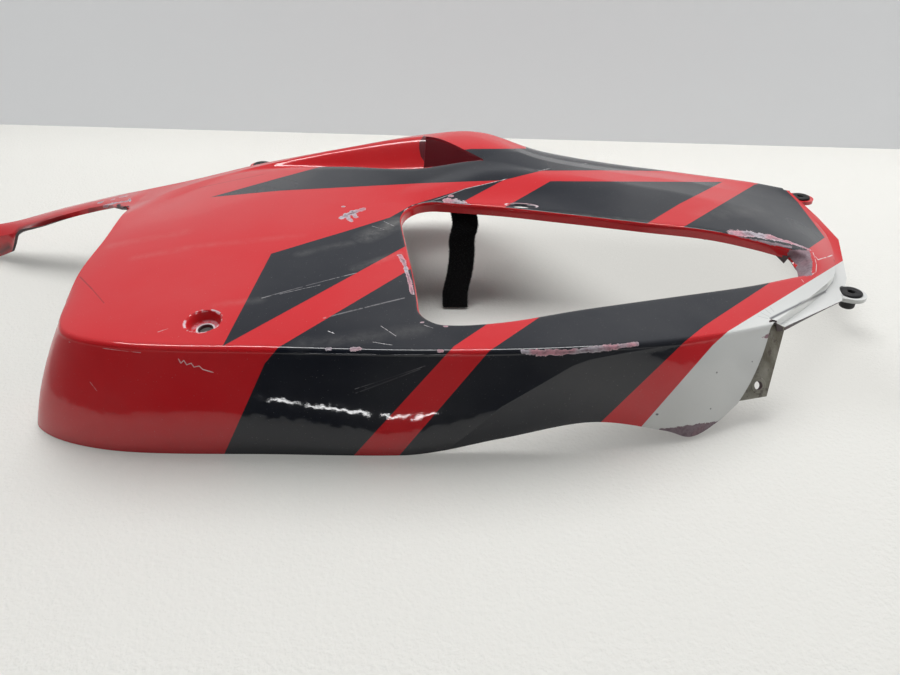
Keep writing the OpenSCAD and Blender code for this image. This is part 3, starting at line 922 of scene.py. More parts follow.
        # chips down to primer at their edge and to the substrate inside
        flake = g.math("SUBTRACT", g.noise(230.0, 6.0, 0.68, warp=0.8), 0.5)
        worn = g.plus(g.times(wear_and_light.chips, 1.5), g.times(flake, 2.3))
        chip = g.times(g.span(worn, 0.60, 0.67), g.span(wear_and_light.chips, 0.0, 0.04))
        gone = g.span(g.plus(wear_and_light.bare, g.times(flake, 0.004)), -0.0001, 0.0002)
        lost = g.most(g.most(chip, gone), wear_and_light.rim)
        deep = g.times(g.span(worn, 0.9, 1.5), g.span(g.noise(110.0, 4.0), 0.42, 0.60))
        primer = g.blend(g.span(g.noise(45.0, 3.0), 0.44, 0.58), self.primer, srgb(182, 176, 184))
        under = g.blend(g.most(deep, g.times(gone, 0.85)), primer, self.substrate)
        under = g.blend(g.times(g.span(fine, 0.42, 0.66), 0.45), under, srgb(104, 84, 92))
        pale = g.times(g.span(worn, 0.86, 0.66), g.math("SUBTRACT", 1.0, gone))
        under = g.blend(g.times(pale, 0.6), under, srgb(228, 206, 210))
        tone = g.blend(lost, tone, under)
        rough = g.plus(self.roughness, g.times(fine, 0.05))
        rough = g.plus(rough, g.times(g.most(lost, patch), 0.35), clamp=True)
        coat = g.times(g.math("SUBTRACT", 1.0, g.most(lost, g.times(patch, 0.6))), 0.9)
        height = g.times(lost, -1.0)
        height = g.plus(height, g.times(mottled, 0.02))
        height = g.plus(height, g.times(g.noise(120.0, 2.0), 0.05))
        height = g.plus(height, g.times(g.most(scratch_and_highlight, line), -0.4))
        shape = g.bump(height, 0.00022)
        coat_shape = g.vector("ADD", shape, g.waves(26.0, 3.0, (self.ripple,) * 3))
        if wear_and_light.lean is not None:
            # the wall mirrors the room in fine waves
            coat_shape = g.vector("ADD", coat_shape, g.waves(190.0, 2.0, self.wall_waves))
            coat_shape = g.vector("ADD", coat_shape, g.vector("SCALE", (0.0, 0.0, 1.0), wear_and_light.lean))
        return g.surface(
            Base_Color=tone, Roughness=rough, Coat_Weight=coat, Coat_Roughness=0.04, Coat_IOR=1.5,
            Specular_IOR_Level=0.06, Normal=shape, Coat_Normal=g.vector("NORMALIZE", coat_shape),
        )


@dataclass(frozen=True)
class BarePlastic:
    """Unpainted moulded plastic of the inner side, with a film of paint mist near the rims."""

    colour: Colour = srgb(84, 77, 79)
    mist: Colour = srgb(112, 32, 38)
    grime: Colour = srgb(52, 49, 46)
    hood: Colour = srgb(150, 26, 48)
    hood_centre: Point = (0.085, 0.165, 0.1)
    hood_reach: tuple[float, float] = (0.105, 0.08)

    def build(self, name: str, mist: float = 0.35) -> Material:
        """Builds the material.

        Args:
            name: its name.
            mist: share of paint mist on it.

        Returns:
            The material.
        """
        g = Graph(name)
        cloud = g.noise(18.0, 5.0, 0.6)
        film = g.times(g.span(g.noise(11.0, 4.0, 0.6), 0.45, 0.7), mist)
        dots = g.span(g.noise(700.0, 2.0, 0.5), 0.56, 0.66)
        tone = g.blend(
            g.times(g.most(film, 0.0), g.math("MULTIPLY_ADD", dots, 0.5, 0.5)), self.colour, self.mist
        )
        tone = g.blend(g.times(g.span(cloud, 0.5, 0.8), 0.5), tone, self.grime)
        # the hood was sprayed from inside as well
        near = g.span(g.vector("DISTANCE", g.position, self.hood_centre), *self.hood_reach)
        tone = g.blend(near, tone, self.hood)
        grain = g.noise(1400.0, 3.0, 0.6)
        height = g.plus(g.times(grain, 0.6), g.times(g.noise(60.0, 3.0), 0.6))
        return g.surface(
            Base_Color=tone, Roughness=g.math("MULTIPLY_ADD", cloud, 0.25, 0.45),
            Specular_IOR_Level=0.4, Normal=g.bump(height, 0.00012),
        )


@dataclass(frozen=True)
class DirtyFlange:
    """Bare grey plastic of the front wall flange, smeared with road dirt."""

    colour: Colour = srgb(146, 143, 132)
    dirt: Colour = srgb(92, 86, 72)
    stain: Colour = srgb(60, 40, 42)

    def build(self) -> Material:
        """Builds the material."""
        g = Graph("dirty_flange")
        smear = g.noise(28.0, 6.0, 0.68, at=g.stretched((1.0, 1.0, 0.45), (0, 20, 0)))
        spots = g.span(g.noise(150.0, 4.0, 0.7), 0.56, 0.64)
        tone = g.blend(g.span(smear, 0.40, 0.68), self.colour, self.dirt)
        tone = g.blend(g.times(spots, 0.55), tone, self.stain)
        height = g.plus(smear, g.times(g.noise(900.0, 3.0), 0.4))
        return g.surface(
            Base_Color=tone, Roughness=g.math("MULTIPLY_ADD", smear, 0.3, 0.45),
            Normal=g.bump(height, 0.00018),
        )


@dataclass(frozen=True)
class Rubber:
    """Black moulded rubber with a light bloom."""

    colour: Colour = srgb(24, 24, 26)
    bloom: Colour = srgb(70, 69, 68)

    def build(self) -> Material:
        """Builds the material."""
        g = Graph("nut_rubber")
        bloom = g.times(g.span(g.noise(160.0, 5.0, 0.65), 0.42, 0.75), 0.45)
        tone = g.blend(bloom, self.colour, self.bloom)
        height = g.plus(g.noise(1800.0, 3.0, 0.6), g.times(g.noise(300.0, 2.0), 0.8))
        return g.surface(
            Base_Color=tone, Roughness=g.math("MULTIPLY_ADD", bloom, 0.5, 0.5), Specular_IOR_Level=0.35,
            Normal=g.bump(height, 0.00008),
        )


@dataclass(frozen=True)
class Brass:
    """Turned brass, a little tarnished."""

    colour: Colour = srgb(198, 160, 92)
    tarnish: Colour = srgb(112, 86, 52)

    def build(self) -> Material:
        """Builds the material."""
        g = Graph("insert_brass")
        stain = g.span(g.noise(420.0, 5.0, 0.6), 0.40, 0.72)
        tone = g.blend(g.times(stain, 0.7), self.colour, self.tarnish)
        rings = g.noise(900.0, 1.0, 0.4, at=g.stretched((0.05, 0.05, 1.0)))
        return g.surface(
            Base_Color=tone, Metallic=1.0, Roughness=g.math("MULTIPLY_ADD", stain, 0.25, 0.26),
            Normal=g.bump(rings, 0.00004),
        )


@dataclass(frozen=True)
class FoamFelt:
    """Black open foam with a felted skin, frayed at its cut edges."""

    colour: Colour = srgb(7, 7, 10)
    dust: Colour = srgb(27, 27, 30)

    def build(self) -> Material:
        """Builds the material."""
        g = Graph("foam_felt")
        cells = g.node("ShaderNodeTexVoronoi", feature="DISTANCE_TO_EDGE")
        g.feed(cells.inputs["Vector"], g.position)
        cells.inputs["Scale"].default_value = 700.0
        fuzz = g.noise(900.0, 5.0, 0.7)
        tone = g.blend(g.times(g.span(fuzz, 0.45, 0.75), 0.5), self.colour, self.dust)
        height = g.plus(g.times(cells.outputs[0], 1.2), fuzz)
        return g.surface(
            Base_Color=tone, Roughness=0.95, Specular_IOR_Level=0.2, Sheen_Weight=0.08,
            Sheen_Roughness=0.5, Normal=g.bump(height, 0.0006),
        )


# --------------------------------------------------------------------------- skin


@dataclass
class FairingSkin:
    """The moulded shell: one skin swept over rails, with its vent, channel, arm and ledge."""

    skin: float = 2.6
    fold_radius: float = 4.5
    wall_bulge: float = 3.0
    rear_lip: float = 9.0
    crest_height: float = 4.0
    vent_flange: float = 9.0
    vent_tip_lean: float = 1.5
    vent_lip_radius: float = 3.0
    channel_depth: float = 24.0
    step_drop: float = 5.5
    arm_share: float = 0.72
    per_column: int = 4
    per_row: int = 3
    fillet_steps: int = 5
    flange_steps: int = 4

    hem: tuple = ((-309, 72, 0), (-302, 30, 0), (-238, 5, 0), (-120, 1, 0), (-30, 0, 0), (35, 7, 9),
                  (98, 13, 19), (150, 15, 10), (172, 16, 3), (192, 25, 8), (209, 35, 18))
    fold: tuple = ((-274, 66, 84.5), (-256, 25, 86), (-205, 9, 86), (-115, 5, 86), (-33, 2, 86), (33, 4, 85),
                   (92, 12, 82.5), (143, 27, 77), (180, 42, 72), (212, 58, 67), (237, 71, 64))
    near: tuple = ((-282, 108, 87.5), (-258, 85, 89), (-202, 62, 91), (-112, 48, 91), (-17, 31, 88), (33, 34, 87),
                   (95, 57, 84), (165, 85.5, 77.5), (238, 118, 69), (303, 157, 57.5), (337, 177, 46.5))
    far: tuple = ((-287, 165, 88.5), (-262, 172, 91), (-200, 180, 95), (-115, 198, 97), (-43, 231, 96),
                  (33, 227, 94), (100, 220, 89.5), (170, 209, 85.5), (240, 205, 78), (315, 196, 62.5), (352, 207, 49.5))
    lip: tuple = ((-296, 222, 86.5), (-264, 262, 87), (-206, 322, 91), (-118, 312, 100), (-36, 291, 105),
                  (33, 306, 108), (95, 296, 101), (168, 282, 94), (245, 270, 84), (318, 262, 68), (368, 262, 51))
    hood: tuple = ((-512, 313, 20), (-462, 301, 31), (-408, 292, 52), (-345, 281, 71), (-301, 252, 82),
                   (-264, 290, 87), (-203, 338, 91), (-118, 358, 103), (-29, 364, 115), (33, 350, 115.5),
                   (95, 325, 102.5), (168, 315, 93), (243, 308, 85), (316, 303, 72), (362, 303, 61))
    ridge: tuple = ((-512, 326, 28), (-462, 320, 38), (-405, 313, 55), (-345, 305, 71), (-303, 302, 80),
                    (-262, 316, 84.5), (-198, 350, 90), (-110, 366, 102), (-25, 373, 114), (33, 374, 115.5),
                    (94, 347, 100.5), (165, 340, 90), (240, 338, 82.5), (312, 336, 75), (350, 333, 69.5))
    back: tuple = ((-512, 329, 12), (-462, 326, 28), (-405, 320, 45), (-345, 313, 60), (-304, 316, 66),
                   (-262, 336, 62), (-198, 376, 54), (-110, 396, 44), (-25, 410, 44), (40, 406, 58),
                   (105, 396, 70), (175, 384, 66), (245, 372, 60), (315, 362, 40), (358, 345, 38))
    arm_low: tuple = ((-508, 315, 0), (-463, 298, 22), (-409, 290, 45), (-345, 280, 64))
    ledge_edge: tuple = ((232, 41, 20), (251, 78, 57), (340, 158, 33.5), (362, 196, 35.5), (379, 254, 47),
                         (374, 290, 54), (358, 331, 67), (366, 346, 36))
    vent_round: tuple = ((0.055, 0.1), (0.045, 0.34), (0.05, 0.42), (0.095, 0.2))
    vent_span: tuple = (3.92, 9.1)
    mouth_span: tuple = (4.05, 5.0)
    mouth_row: float = 0.24

    arm_columns: tuple = (-4, -3.85, -3.5, -3, -2.5, -2, -1.5, -1, -0.5, -0.15)
    face_columns: tuple = (0, 0.25, 0.55, 0.85, 1.15, 1.5, 1.85, 2.2, 2.6, 3, 3.4, 3.7, 3.82, 3.92, 4.05, 4.12,
                           4.22, 4.36, 4.55, 4.78, 5, 5.2, 5.45, 5.75, 6.1, 6.5, 6.9, 7.3, 7.7, 8.05, 8.35,
                           8.6, 8.8, 8.93, 9.02, 9.1, 9.25, 9.45, 9.7, 10)
    row_shares: tuple = ((0, 0.12, 0.35, 0.6, 0.85, 1), (0, 0.33, 0.67, 1), (0, 0.2, 0.4, 0.62, 0.82, 1),
                         (0, 0.03, 0.08, 0.16, 0.3, 0.5, 0.7, 0.84, 0.92, 0.97, 1), (0, 0.25, 0.5, 0.75, 1),
                         (0, 0.12, 0.24, 0.36, 0.5, 0.6, 0.72, 0.86, 1), (0, 0.5, 1), (0, 0.15, 0.35, 0.6, 0.8, 1))

    front_tab: Point = (354, 171, 33.4)
    far_tab: Point = (370, 329, 60.5)
    rear_tab: Point = (-212, 394, 73.5)
    tab_roots: tuple[Pixel, ...] = ((343, 176), (352, 329), (-206, 366))
    tab_radius: float = 13.0
    seat_depth: float = 0.4
    recess_diameter: float = 24.0
    recess_depth: float = 7.0
    screw_diameter: float = 9.5
    flange_hole_diameter: float = 6.5
    nut_flange_diameter: float = 19.0
    nut_body_diameter: float = 12.7
    recess_place: tuple = (2.45, 2, 0.52)
    oval_place: tuple = (5.47, 4, 0.06)
    gusset_at: Point = (295.5, 195.6, 58)
    peg_at: Point = (229.5, 204.8, 70.0)

    def __post_init__(self) -> None:
        """Turns the point lists into rails and lays out the columns and rows."""
        self.rails = {
            k: Rail(getattr(self, k))
            for k in ("hem", "fold", "near", "far", "lip", "hood", "ridge", "back")
        }
        root = mix(Vector(self.lip[0]), Vector(self.hood[4]), self.arm_share)
        self.arm_rail = Rail([*self.arm_low, root])
        arm, face = refined(self.arm_columns, self.per_column), refined(self.face_columns, self.per_column)
        self.cols = arm + face
        self.i_lip, self.i_face, self.n_face = len(arm) - 1, len(arm), len(arm) + len(face)
        self.ledge_steps = (0.0, 0.03, 0.12, 0.3, 0.5, 0.7, 0.88, 0.97, 1.0)
        self.n_cols = self.n_face + len(self.ledge_steps)
        self.rows: list[tuple[int, float]] = []
        for zone, shares in enumerate(self.row_shares):
            fine = refined(shares, self.per_row)
            if zone == 0:
                self.rows += [(0, t) for t in fine]
            elif zone == 1:
                self.rows += [(1, t) for t in fine[1:-1]]
            elif zone == 7:
                self.rows += [(7, t) for t in fine]
            else:
                self.rows += [(zone, t) for t in fine[:-1]]
        self.n_rows = len(self.rows)
        self.j_arm = self._row(5, self.arm_share)
        self.j_lip = self._row(2, 0.2)
        self.vent_i = (self._column(self.vent_span[0]), self._column(self.vent_span[1]))
        self.vent_j = (self._row(3, 0), self._row(4, 0))
        self.mouth_i = (self._column(self.mouth_span[0]), self._column(self.mouth_span[1]))
        self.mouth_j = (self._row(5, self.mouth_row), self._row(6, 0))
        self.tree: BVHTree | None = None
        self.face_regions: list[int] = []

    @property
    def tabs(self) -> dict[str, Point]:
        """Centre of each tab's top, by the name of the nut that it carries."""
        return {"front": self.front_tab, "far": self.far_tab, "rear": self.rear_tab}

    def _row(self, zone: int, share: float) -> int:
        """Returns the row number of a zone's share."""
        return next(j for j, (z, t) in enumerate(self.rows) if z == zone and abs(t - share) < 1e-6)

    def _column(self, u: float) -> int:
        """Returns the face's column number of a station."""
        return next(i for i in range(self.i_face, self.n_face) if abs(self.cols[i] - u) < 1e-6)

    # ---- form of the surface, as in the CAD source

    def lines(self, u: float) -> list[Vector]:
        """Returns the points of all rails at a station, and the fold's direction there.

        Args:
            u: station along the face; hood, ridge and back start four stations before it.

        Returns:
            Points on fold, near, far, lip, hood, ridge, back and hem, and the direction.
        """
        r = self.rails
        way = r["fold"].at(min(u + 0.05, 10)) - r["fold"].at(max(u - 0.05, 0))
        return [r["fold"].at(u), r["near"].at(u), r["far"].at(u), r["lip"].at(u), r["hood"].at(u + 4),
                r["ridge"].at(u + 4), r["back"].at(u + 4), r["hem"].at(u), way]

    @staticmethod
    def hood_draw(u: float) -> float:
        """How far the hood's lip is drawn to the channel's near lip."""
        return 0.93 * (0 if u < 4 else (u - 4) ** 1.7 if u <= 5 else max(0.0, 1 - (u - 5) / 0.6))

    def channel_at(self, u: float) -> float:
        """Depth of the channel at a station."""
        return self.channel_depth * (ease((u - 1.7) / 2.3) if u <= 4.1 else 1 - ease((u - 4.1) / 0.9))

    @staticmethod
    def channel_shape(t: float) -> float:
        """Section of the channel, from 0 at its lips to 1 on its floor."""
        return ease(t / 0.35) if t < 0.35 else 1.0 if t < 0.6 else 1 - ease((t - 0.6) / 0.4)

    def crest_lift(self, u: float, t: float) -> float:
        """Height that the crest adds to the face."""
        line = -0.1 if u < 4 else (u - 4) * 0.62 if u < 5 else 0.62 + (u - 5) * 0.3
        return self.crest_height * ease((u - 3.6) / 0.7) * (1 - ease((u - 5.6) / 1.2)) * max(
            0.0, 1 - abs(t - line) / 0.45
        )

    @staticmethod
    def slope(r: Sequence[Vector], k: int) -> Vector:
        """Direction in which the face crosses rail k."""
        if k == 0:
            return (r[1] - r[0]).normalized()
        return (r[k + 1] - r[k - 1]) / ((r[k + 1] - r[k]).length + (r[k] - r[k - 1]).length)

    def across(self, r: Sequence[Vector], k: int, t: float) -> Vector:
        """Smooth crossing from rail k to rail k + 1."""
        h = (r[k + 1] - r[k]).length
        t2, t3 = t * t, t * t * t
        return (r[k] * (2 * t3 - 3 * t2 + 1) + self.slope(r, k) * ((t3 - 2 * t2 + t) * h)
                + r[k + 1] * (3 * t2 - 2 * t3) + self.slope(r, k + 1) * ((t3 - t2) * h))

    @staticmethod
    def back_point(a: Vector, b: Vector, t: float) -> Vector:
        """Point of the back skirt, which rolls over the ridge and hangs down."""
        return arc3(a, Vector((b[0], mix(a[1], b[1], 0.8), a[2])), b, t)

    def face_point(self, u: float, r: Sequence[Vector], zone: int, t: float) -> Vector:
        """Returns a point of the outer surface.

        Args:
            u: station along the shell.
            r: its rail points, from lines().
            zone: which strip between two rails.
            t: share of the strip's width.

        Returns:
            The point in mm in the drawing frame.
        """
        top = r[0] + (r[7] - r[0]).normalized() * self.fold_radius
        start = self.fold_radius / (r[1] - r[0]).length
        if zone == 0:
            out = Vector((r[8][1], -r[8][0], 0)).normalized()
            return mix(r[7], top, t) + out * (self.wall_bulge * 4 * t * (1 - t))
        if zone == 1:
            return arc3(top, r[0], self.across(r, 0, start), t)
        if zone == 2:
            return self.across(r, 0, mix(start, 1, t))
        if zone == 3:
            return self.across(r, 1, t)
        if zone == 4:
            return self.across(r, 2, t) + Vector((0, 0, self.crest_lift(u, t) * 4 * t * (1 - t)))
        drawn = self.hood_draw(u)
        hood = mix(r[4], r[3], drawn)
        if zone == 5:
            return mix(r[3], hood, t) - Vector((0, 0, self.channel_at(u) * self.channel_shape(t)))
        if zone == 6:
            return mix(hood, r[5], t) + Vector((0, 0, 12 * t * (1 - t) * drawn))
        return self.back_point(r[5], r[6], t)

    def arm_point(self, u: float, r: Sequence[Vector], zone: int, t: float) -> Vector:
        """Returns a point of the rear arm's outer surface."""
        if zone == 5:
            low = self.arm_rail.at(u + 4)
            x = low[0]
            # a notch where the foot begins
            low[2] += ease((x + 458) / 12) * (
                2.8 + 6 * (1 - ease((x + 448) / 36))
            ) - 9 * ease((x + 500) / 20) * (1 - ease((x + 462) / 8))
            return mix(low, r[4], (t - self.arm_share) / (1 - self.arm_share))
        if zone == 6:
            return mix(r[4], r[5], t) + Vector((0, 0, 6 * t * (1 - t)))
        return self.back_point(r[5], r[6], t)

    def ledge_point(self, zone: int, t: float) -> Vector:
        """Returns the point of the ledge's outer edge that goes with a zone's share."""
        e = [Vector(p) for p in self.ledge_edge]
        if zone == 0:
            return mix(e[0], e[1], t * 0.93)
        if zone == 1:
            return mix(e[0], e[1], 0.93 + 0.07 * t)
        if zone == 7:
            return self.back_point(e[6], e[7], t)
        return mix(e[zone - 1], e[zone], t)

    def _corner(self, q: int, s: float, t: float) -> tuple[float, float]:
        """Moves a place of the vent's border onto the arc of corner q."""
        a, b = self.vent_round[q]
        x, y = (s if q in (0, 3) else 1 - s), (t if q < 2 else 1 - t)
        if x < a and y < b:
            g = math.radians(45 + 45 * min(x / a, 1) if y < 1e-9 else 45 - 45 * min(y / b, 1))
            x, y = a * (1 - math.cos(g)), b * (1 - math.sin(g))
        return (x if q in (0, 3) else 1 - x), (y if q < 2 else 1 - y)

    def _vent_place(self, i: int, j: int) -> tuple[float, float]:
        """Returns station and share of a point of the vent's rounded border."""
        u0, u1 = self.cols[self.vent_i[0]], self.cols[self.vent_i[1]]
        s = (self.cols[i] - u0) / (u1 - u0)
        t = 1.0 if j == self.vent_j[1] else self.rows[j][1]
        q = (0 if t < 0.5 else 3) if s < 0.5 else (1 if t < 0.5 else 2)
        s, t = self._corner(q, s, t)
        return mix(u0, u1, s), t

    def _on_vent(self, i: int, j: int) -> bool:
        """Tells whether a grid place lies on the vent's border."""
        a, b = self.vent_i, self.vent_j
        return a[0] <= i <= a[1] and b[0] <= j <= b[1] and (i in a or j in b)

    def _ledge(self, i: int, zone: int, t: float) -> Vector:
        """Returns a point of the stepped front ledge, column i counted from the step's foot."""
        p, q = self.face_point(10, self.front, zone, t), self.ledge_point(zone, t)
        share = 1.0 if zone < 4 else mix(1, 0.2, t) if zone == 4 else 0.2
        drop = Vector((-0.3, 0.5, 0)) * (self.step_drop * 0.7) if zone < 2 else Vector(
            (0, 0, -self.step_drop * share)
        )
        foot = p + drop + (q - p).normalized() * 2
        return mix(foot, q, self.ledge_steps[i])

    def _grid_point(self, i: int, j: int) -> Vector:
        """Returns the outer point at a grid place."""
        zone, t = self.rows[j]
        if i >= self.n_face:
            return self._ledge(i - self.n_face, zone, t)
        u, r = self.cols[i], self.col_lines[i]
        if i < self.i_lip or (i == self.i_lip and j >= self.j_arm):
            return self.arm_point(u, r, zone, t) if j >= self.j_arm else self.arm_point(
                u, r, 5, self.arm_share
            )
        if i == self.i_lip:
            lip = Vector((0, 0, 0)) if j < self.j_lip else Vector((-0.1, 0.05, -1)) * self.rear_lip
            return self.face_point(0, self.col_lines[self.i_face], zone, t) + lip
        if self._on_vent(i, j):
            s, v = self._vent_place(i, j)
            return self.face_point(s, self.lines(s), 3, v)
        return self.face_point(u, r, zone, t)

    # ---- which grid places and cells carry skin

    @staticmethod
    def _in(i: int, j: int, a: Sequence[int], b: Sequence[int], cells: bool) -> bool:
        """Tells whether a place, or a cell, lies in an opening's block."""
        if cells:
            return a[0] <= i < a[1] and b[0] <= j < b[1]
        return a[0] < i < a[1] and b[0] < j < b[1]

    def _carries(self, i: int, j: int, cells: bool) -> bool:
        """Tells whether a grid place, or a cell, carries skin."""
        less = 1 if cells else 0
        if not (0 <= i < self.n_cols - less and 0 <= j < self.n_rows - less):
            return False
        if i < self.i_lip:
            return j >= self.j_arm
        if i == self.i_lip:
            return j >= self.j_lip
        return not (
            self._in(i, j, self.vent_i, self.vent_j, cells)
            or self._in(i, j, self.mouth_i, self.mouth_j, cells)
        )

    def _normal(self, i: int, j: int) -> Vector:
        """Returns the outward direction at a grid place."""
        def pick(k: int, m: int) -> Vector:
            """The outer point there, or this one where there is no skin."""
            return self.outer[k][m] if self._carries(k, m, False) else self.outer[i][j]

        along, over = pick(i + 1, j) - pick(i - 1, j), pick(i, j + 1) - pick(i, j - 1)
        return along.cross(over).normalized()

    def _region(self, i: int, j: int) -> Region:
        """Returns the finish of an outer cell."""
        zone, t = self.rows[j]
        u = self.cols[i] if i < self.n_face else 10.0
        if i >= self.n_face - 1:
            return Region.BARE if zone < 2 else Region.LIVERY
        if zone == 0:
            return Region.WALL
        if zone == 7 and t >= 0.1:
            return Region.LIVERY if t < 0.3 and u > 4 else Region.PLAIN
        if i < self.i_lip:
            return Region.LIVERY
        if (zone == 5 and u < 5) or (zone >= 6 and u < 4.04):
            return Region.PLAIN
        return Region.LIVERY

    # ---- mesh

    def sweep(self) -> tuple[list[Vector], list[tuple[int, ...]], list[int]]:
        """Sweeps the whole closed shell.

        Returns:
            Points in mm, faces, and the region number of each face.
        """
        self.col_lines = [self.lines(u) for u in self.cols]
        self.front = self.lines(10)
        nr, nc = self.n_rows, self.n_cols
        park = self.face_point(0, self.col_lines[self.i_face], *self.rows[self.j_arm])
        self.outer = [
            [self._grid_point(i, j) if self._carries(i, j, False) else park.copy() for j in range(nr)]
            for i in range(nc)
        ]
        vi, vj = self.vent_i, self.vent_j
        loop = [(i, vj[0]) for i in range(vi[0], vi[1] + 1)]
        loop += [(vi[1], j) for j in range(vj[0] + 1, vj[1] + 1)]
        loop += [(i, vj[1]) for i in range(vi[1] - 1, vi[0] - 1, -1)]
        loop += [(vi[0], j) for j in range(vj[1] - 1, vj[0], -1)]
        n = len(loop)
        ring = [self.outer[i][j] for i, j in loop]

        def side(a: int, pair: Sequence[int]) -> int:
            """Direction out of the vent along one axis of the grid."""
            return -1 if a == pair[0] else 1 if a == pair[1] else 0

        away = [self.outer[i + side(i, vi)][j + side(j, vj)] for i, j in loop]
        tangent = [(ring[(k + 1) % n] - ring[k - 1]).normalized() for k in range(n)]
        normal = [(away[k] - ring[k]).cross(tangent[k]).normalized() for k in range(n)]
        inward = [normal[k].cross(tangent[k]).normalized() for k in range(n)]
        rearward = Vector((-1, -0.12, 0)).normalized()
        tip_x = max(p[0] for p in ring)
        on_loop = {place: k for k, place in enumerate(loop)}

        verts: list[Vector] = []
        faces: list[tuple[int, ...]] = []
        regions: list[int] = []
        number: dict[tuple, int] = {}

        def put(key: tuple, p: Vector) -> int:
            """Adds a point once under a key, trimmed at the floor."""
            if key not in number:
                number[key] = len(verts)
                verts.append(Vector((p[0], p[1], max(p[2], 0.0))))
            return number[key]

        def grid(i: int, j: int, inner: int) -> int:
            """Number of a grid place's outer or inner point."""
            key = (i, j, inner)
            if key in number:
                return number[key]
            if not inner:
                return put(key, self.outer[i][j])
            way = normal[on_loop[(i, j)]] if (i, j) in on_loop else self._normal(i, j)
            return put(key, self.outer[i][j] - way * self.skin)

        def add(face: Sequence[int], region: Region) -> None:
            """Adds a face unless it has shrunk to a line."""
            if len(set(face)) == len(face):
                faces.append(tuple(face))
                regions.append(region.value)

        for i in range(nc - 1):
            for j in range(nr - 1):
                if not self._carries(i, j, True):
                    continue
                a, b, c, d = ((i, j), (i + 1, j), (i + 1, j + 1), (i, j + 1))
                o = [grid(*p, 0) for p in (a, b, c, d)]
                q = [grid(*p, 1) for p in (a, b, c, d)]
                add((o[0], o[1], o[2], o[3]), self._region(i, j))
                add((q[0], q[3], q[2], q[1]), Region.INNER)
                for (x, y), m in (
                    ((i - 1, j), (3, 0)), ((i, j + 1), (2, 3)), ((i + 1, j), (1, 2)), ((i, j - 1), (0, 1))
                ):
                    if self._carries(x, y, True) or self._in(x, y, vi, vj, True):
                        continue
                    if x < self.i_face and i == self.i_face and self._in(x, y, vi, vj, True):
                        continue
                    s, e = m
                    add((o[e], o[s], q[s], q[e]), Region.EDGE)

        def flange(k: int, step: int) -> tuple[Vector, Vector]:
            """Outer point and outward direction of the return flange."""
            p, nrm, d = ring[k], normal[k], inward[k]
            r = self.vent_lip_radius
            a = math.pi / 2 * min(step / self.fillet_steps, 1)
            lean = self.vent_tip_lean * ease((p[0] - (tip_x - 42)) / 36)
            reach = max(0.0, d.dot(rearward))
            down = (self.vent_flange - r) * max(0, step - self.fillet_steps) / self.flange_steps
            wall = Vector((d[0], d[1], lean * reach)).normalized()
            face_out = wall if step >= self.fillet_steps else (
                nrm * math.cos(a) + wall * math.sin(a)
            ).normalized()
            where = p + d * (r * math.sin(a)) - nrm * (r * (1 - math.cos(a))) + (
                rearward * (lean * reach) - Vector((0, 0, 1))
            ) * down
            return where, face_out

        last = self.fillet_steps + self.flange_steps

        def ring_at(k: int, step: int, inner: int) -> int:
            """Number of a flange point."""
            m = k % n
            if step == 0:
                return grid(*loop[m], inner)
            key = ("flange", m, step, inner)
            if key in number:
                return number[key]
            p, out = flange(m, step)
            number[key] = len(verts)
            verts.append(p - out * (self.skin * inner))
            return number[key]

        for step in range(last):
            for k in range(n):
                o = [
                    ring_at(k, step, 0), ring_at(k + 1, step, 0), ring_at(k + 1, step + 1, 0),
                    ring_at(k, step + 1, 0),
                ]
                q = [
                    ring_at(k, step, 1), ring_at(k + 1, step, 1), ring_at(k + 1, step + 1, 1),
                    ring_at(k, step + 1, 1),
                ]
                add((o[0], o[1], o[2], o[3]), Region.LIVERY if step < 2 else Region.PLAIN)
                add((q[0], q[3], q[2], q[1]), Region.INNER)
        for k in range(n):
            add(
                (
                    ring_at(k, last, 0), ring_at(k + 1, last, 0), ring_at(k + 1, last, 1),
                    ring_at(k, last, 1),
                ),
                Region.EDGE,
            )
        return verts, faces, regions

    def seen(self, px: Pixel, place: Placement) -> Vector | None:
        """Returns where a place of the photograph meets the skin, in the row frame.

        Args:
            px: place in pixels.
            place: the placement of the drawing.

        Returns:
            The point in metres, or None if the sight line misses the skin.
        """
        hit = self.tree.ray_cast(place.eye, place.view.ray(px))
        return hit[0]

    def touched(self, mark: "Mark", place: Placement, wall: bool) -> bool:
        """Tells whether a mark of wear or painted light reaches the front wall, or else any other part of the skin."""
        for x, y in (mark.start, mark.end):
            for shift in (-mark.radius, 0.0, mark.radius):
                _, _, face, _ = self.tree.ray_cast(place.eye, place.view.ray((x, y + shift)))
                if face is not None and (self.face_regions[face] == Region.WALL.value) is wall:
                    return True
        return False

    def stand_at(self, u: float, zone: int, t: float) -> Matrix:
        """Returns the frame that stands upright on the surface at a place."""
        e = 0.02
        p = self.face_point(u, self.lines(u), zone, t)
        along = self.face_point(
            u + e, self.lines(u + e), zone, t
        ) - self.face_point(u - e, self.lines(u - e), zone, t)
        over = self.face_point(
            u, self.lines(u), zone, t + e
        ) - self.face_point(u, self.lines(u), zone, t - e)
        return standing(p, along.cross(over).normalized())


def standing(at: Vector, up: Vector) -> Matrix:
    """Returns the frame at a point whose Z axis is the given direction."""
    x = Vector((0, 1, 0)).cross(up).normalized()
    y = up.cross(x)
    m = Matrix((x, y, up)).transposed().to_4x4()
    m.translation = at
    return m


# --------------------------------------------------------------------------- features cut into the skin


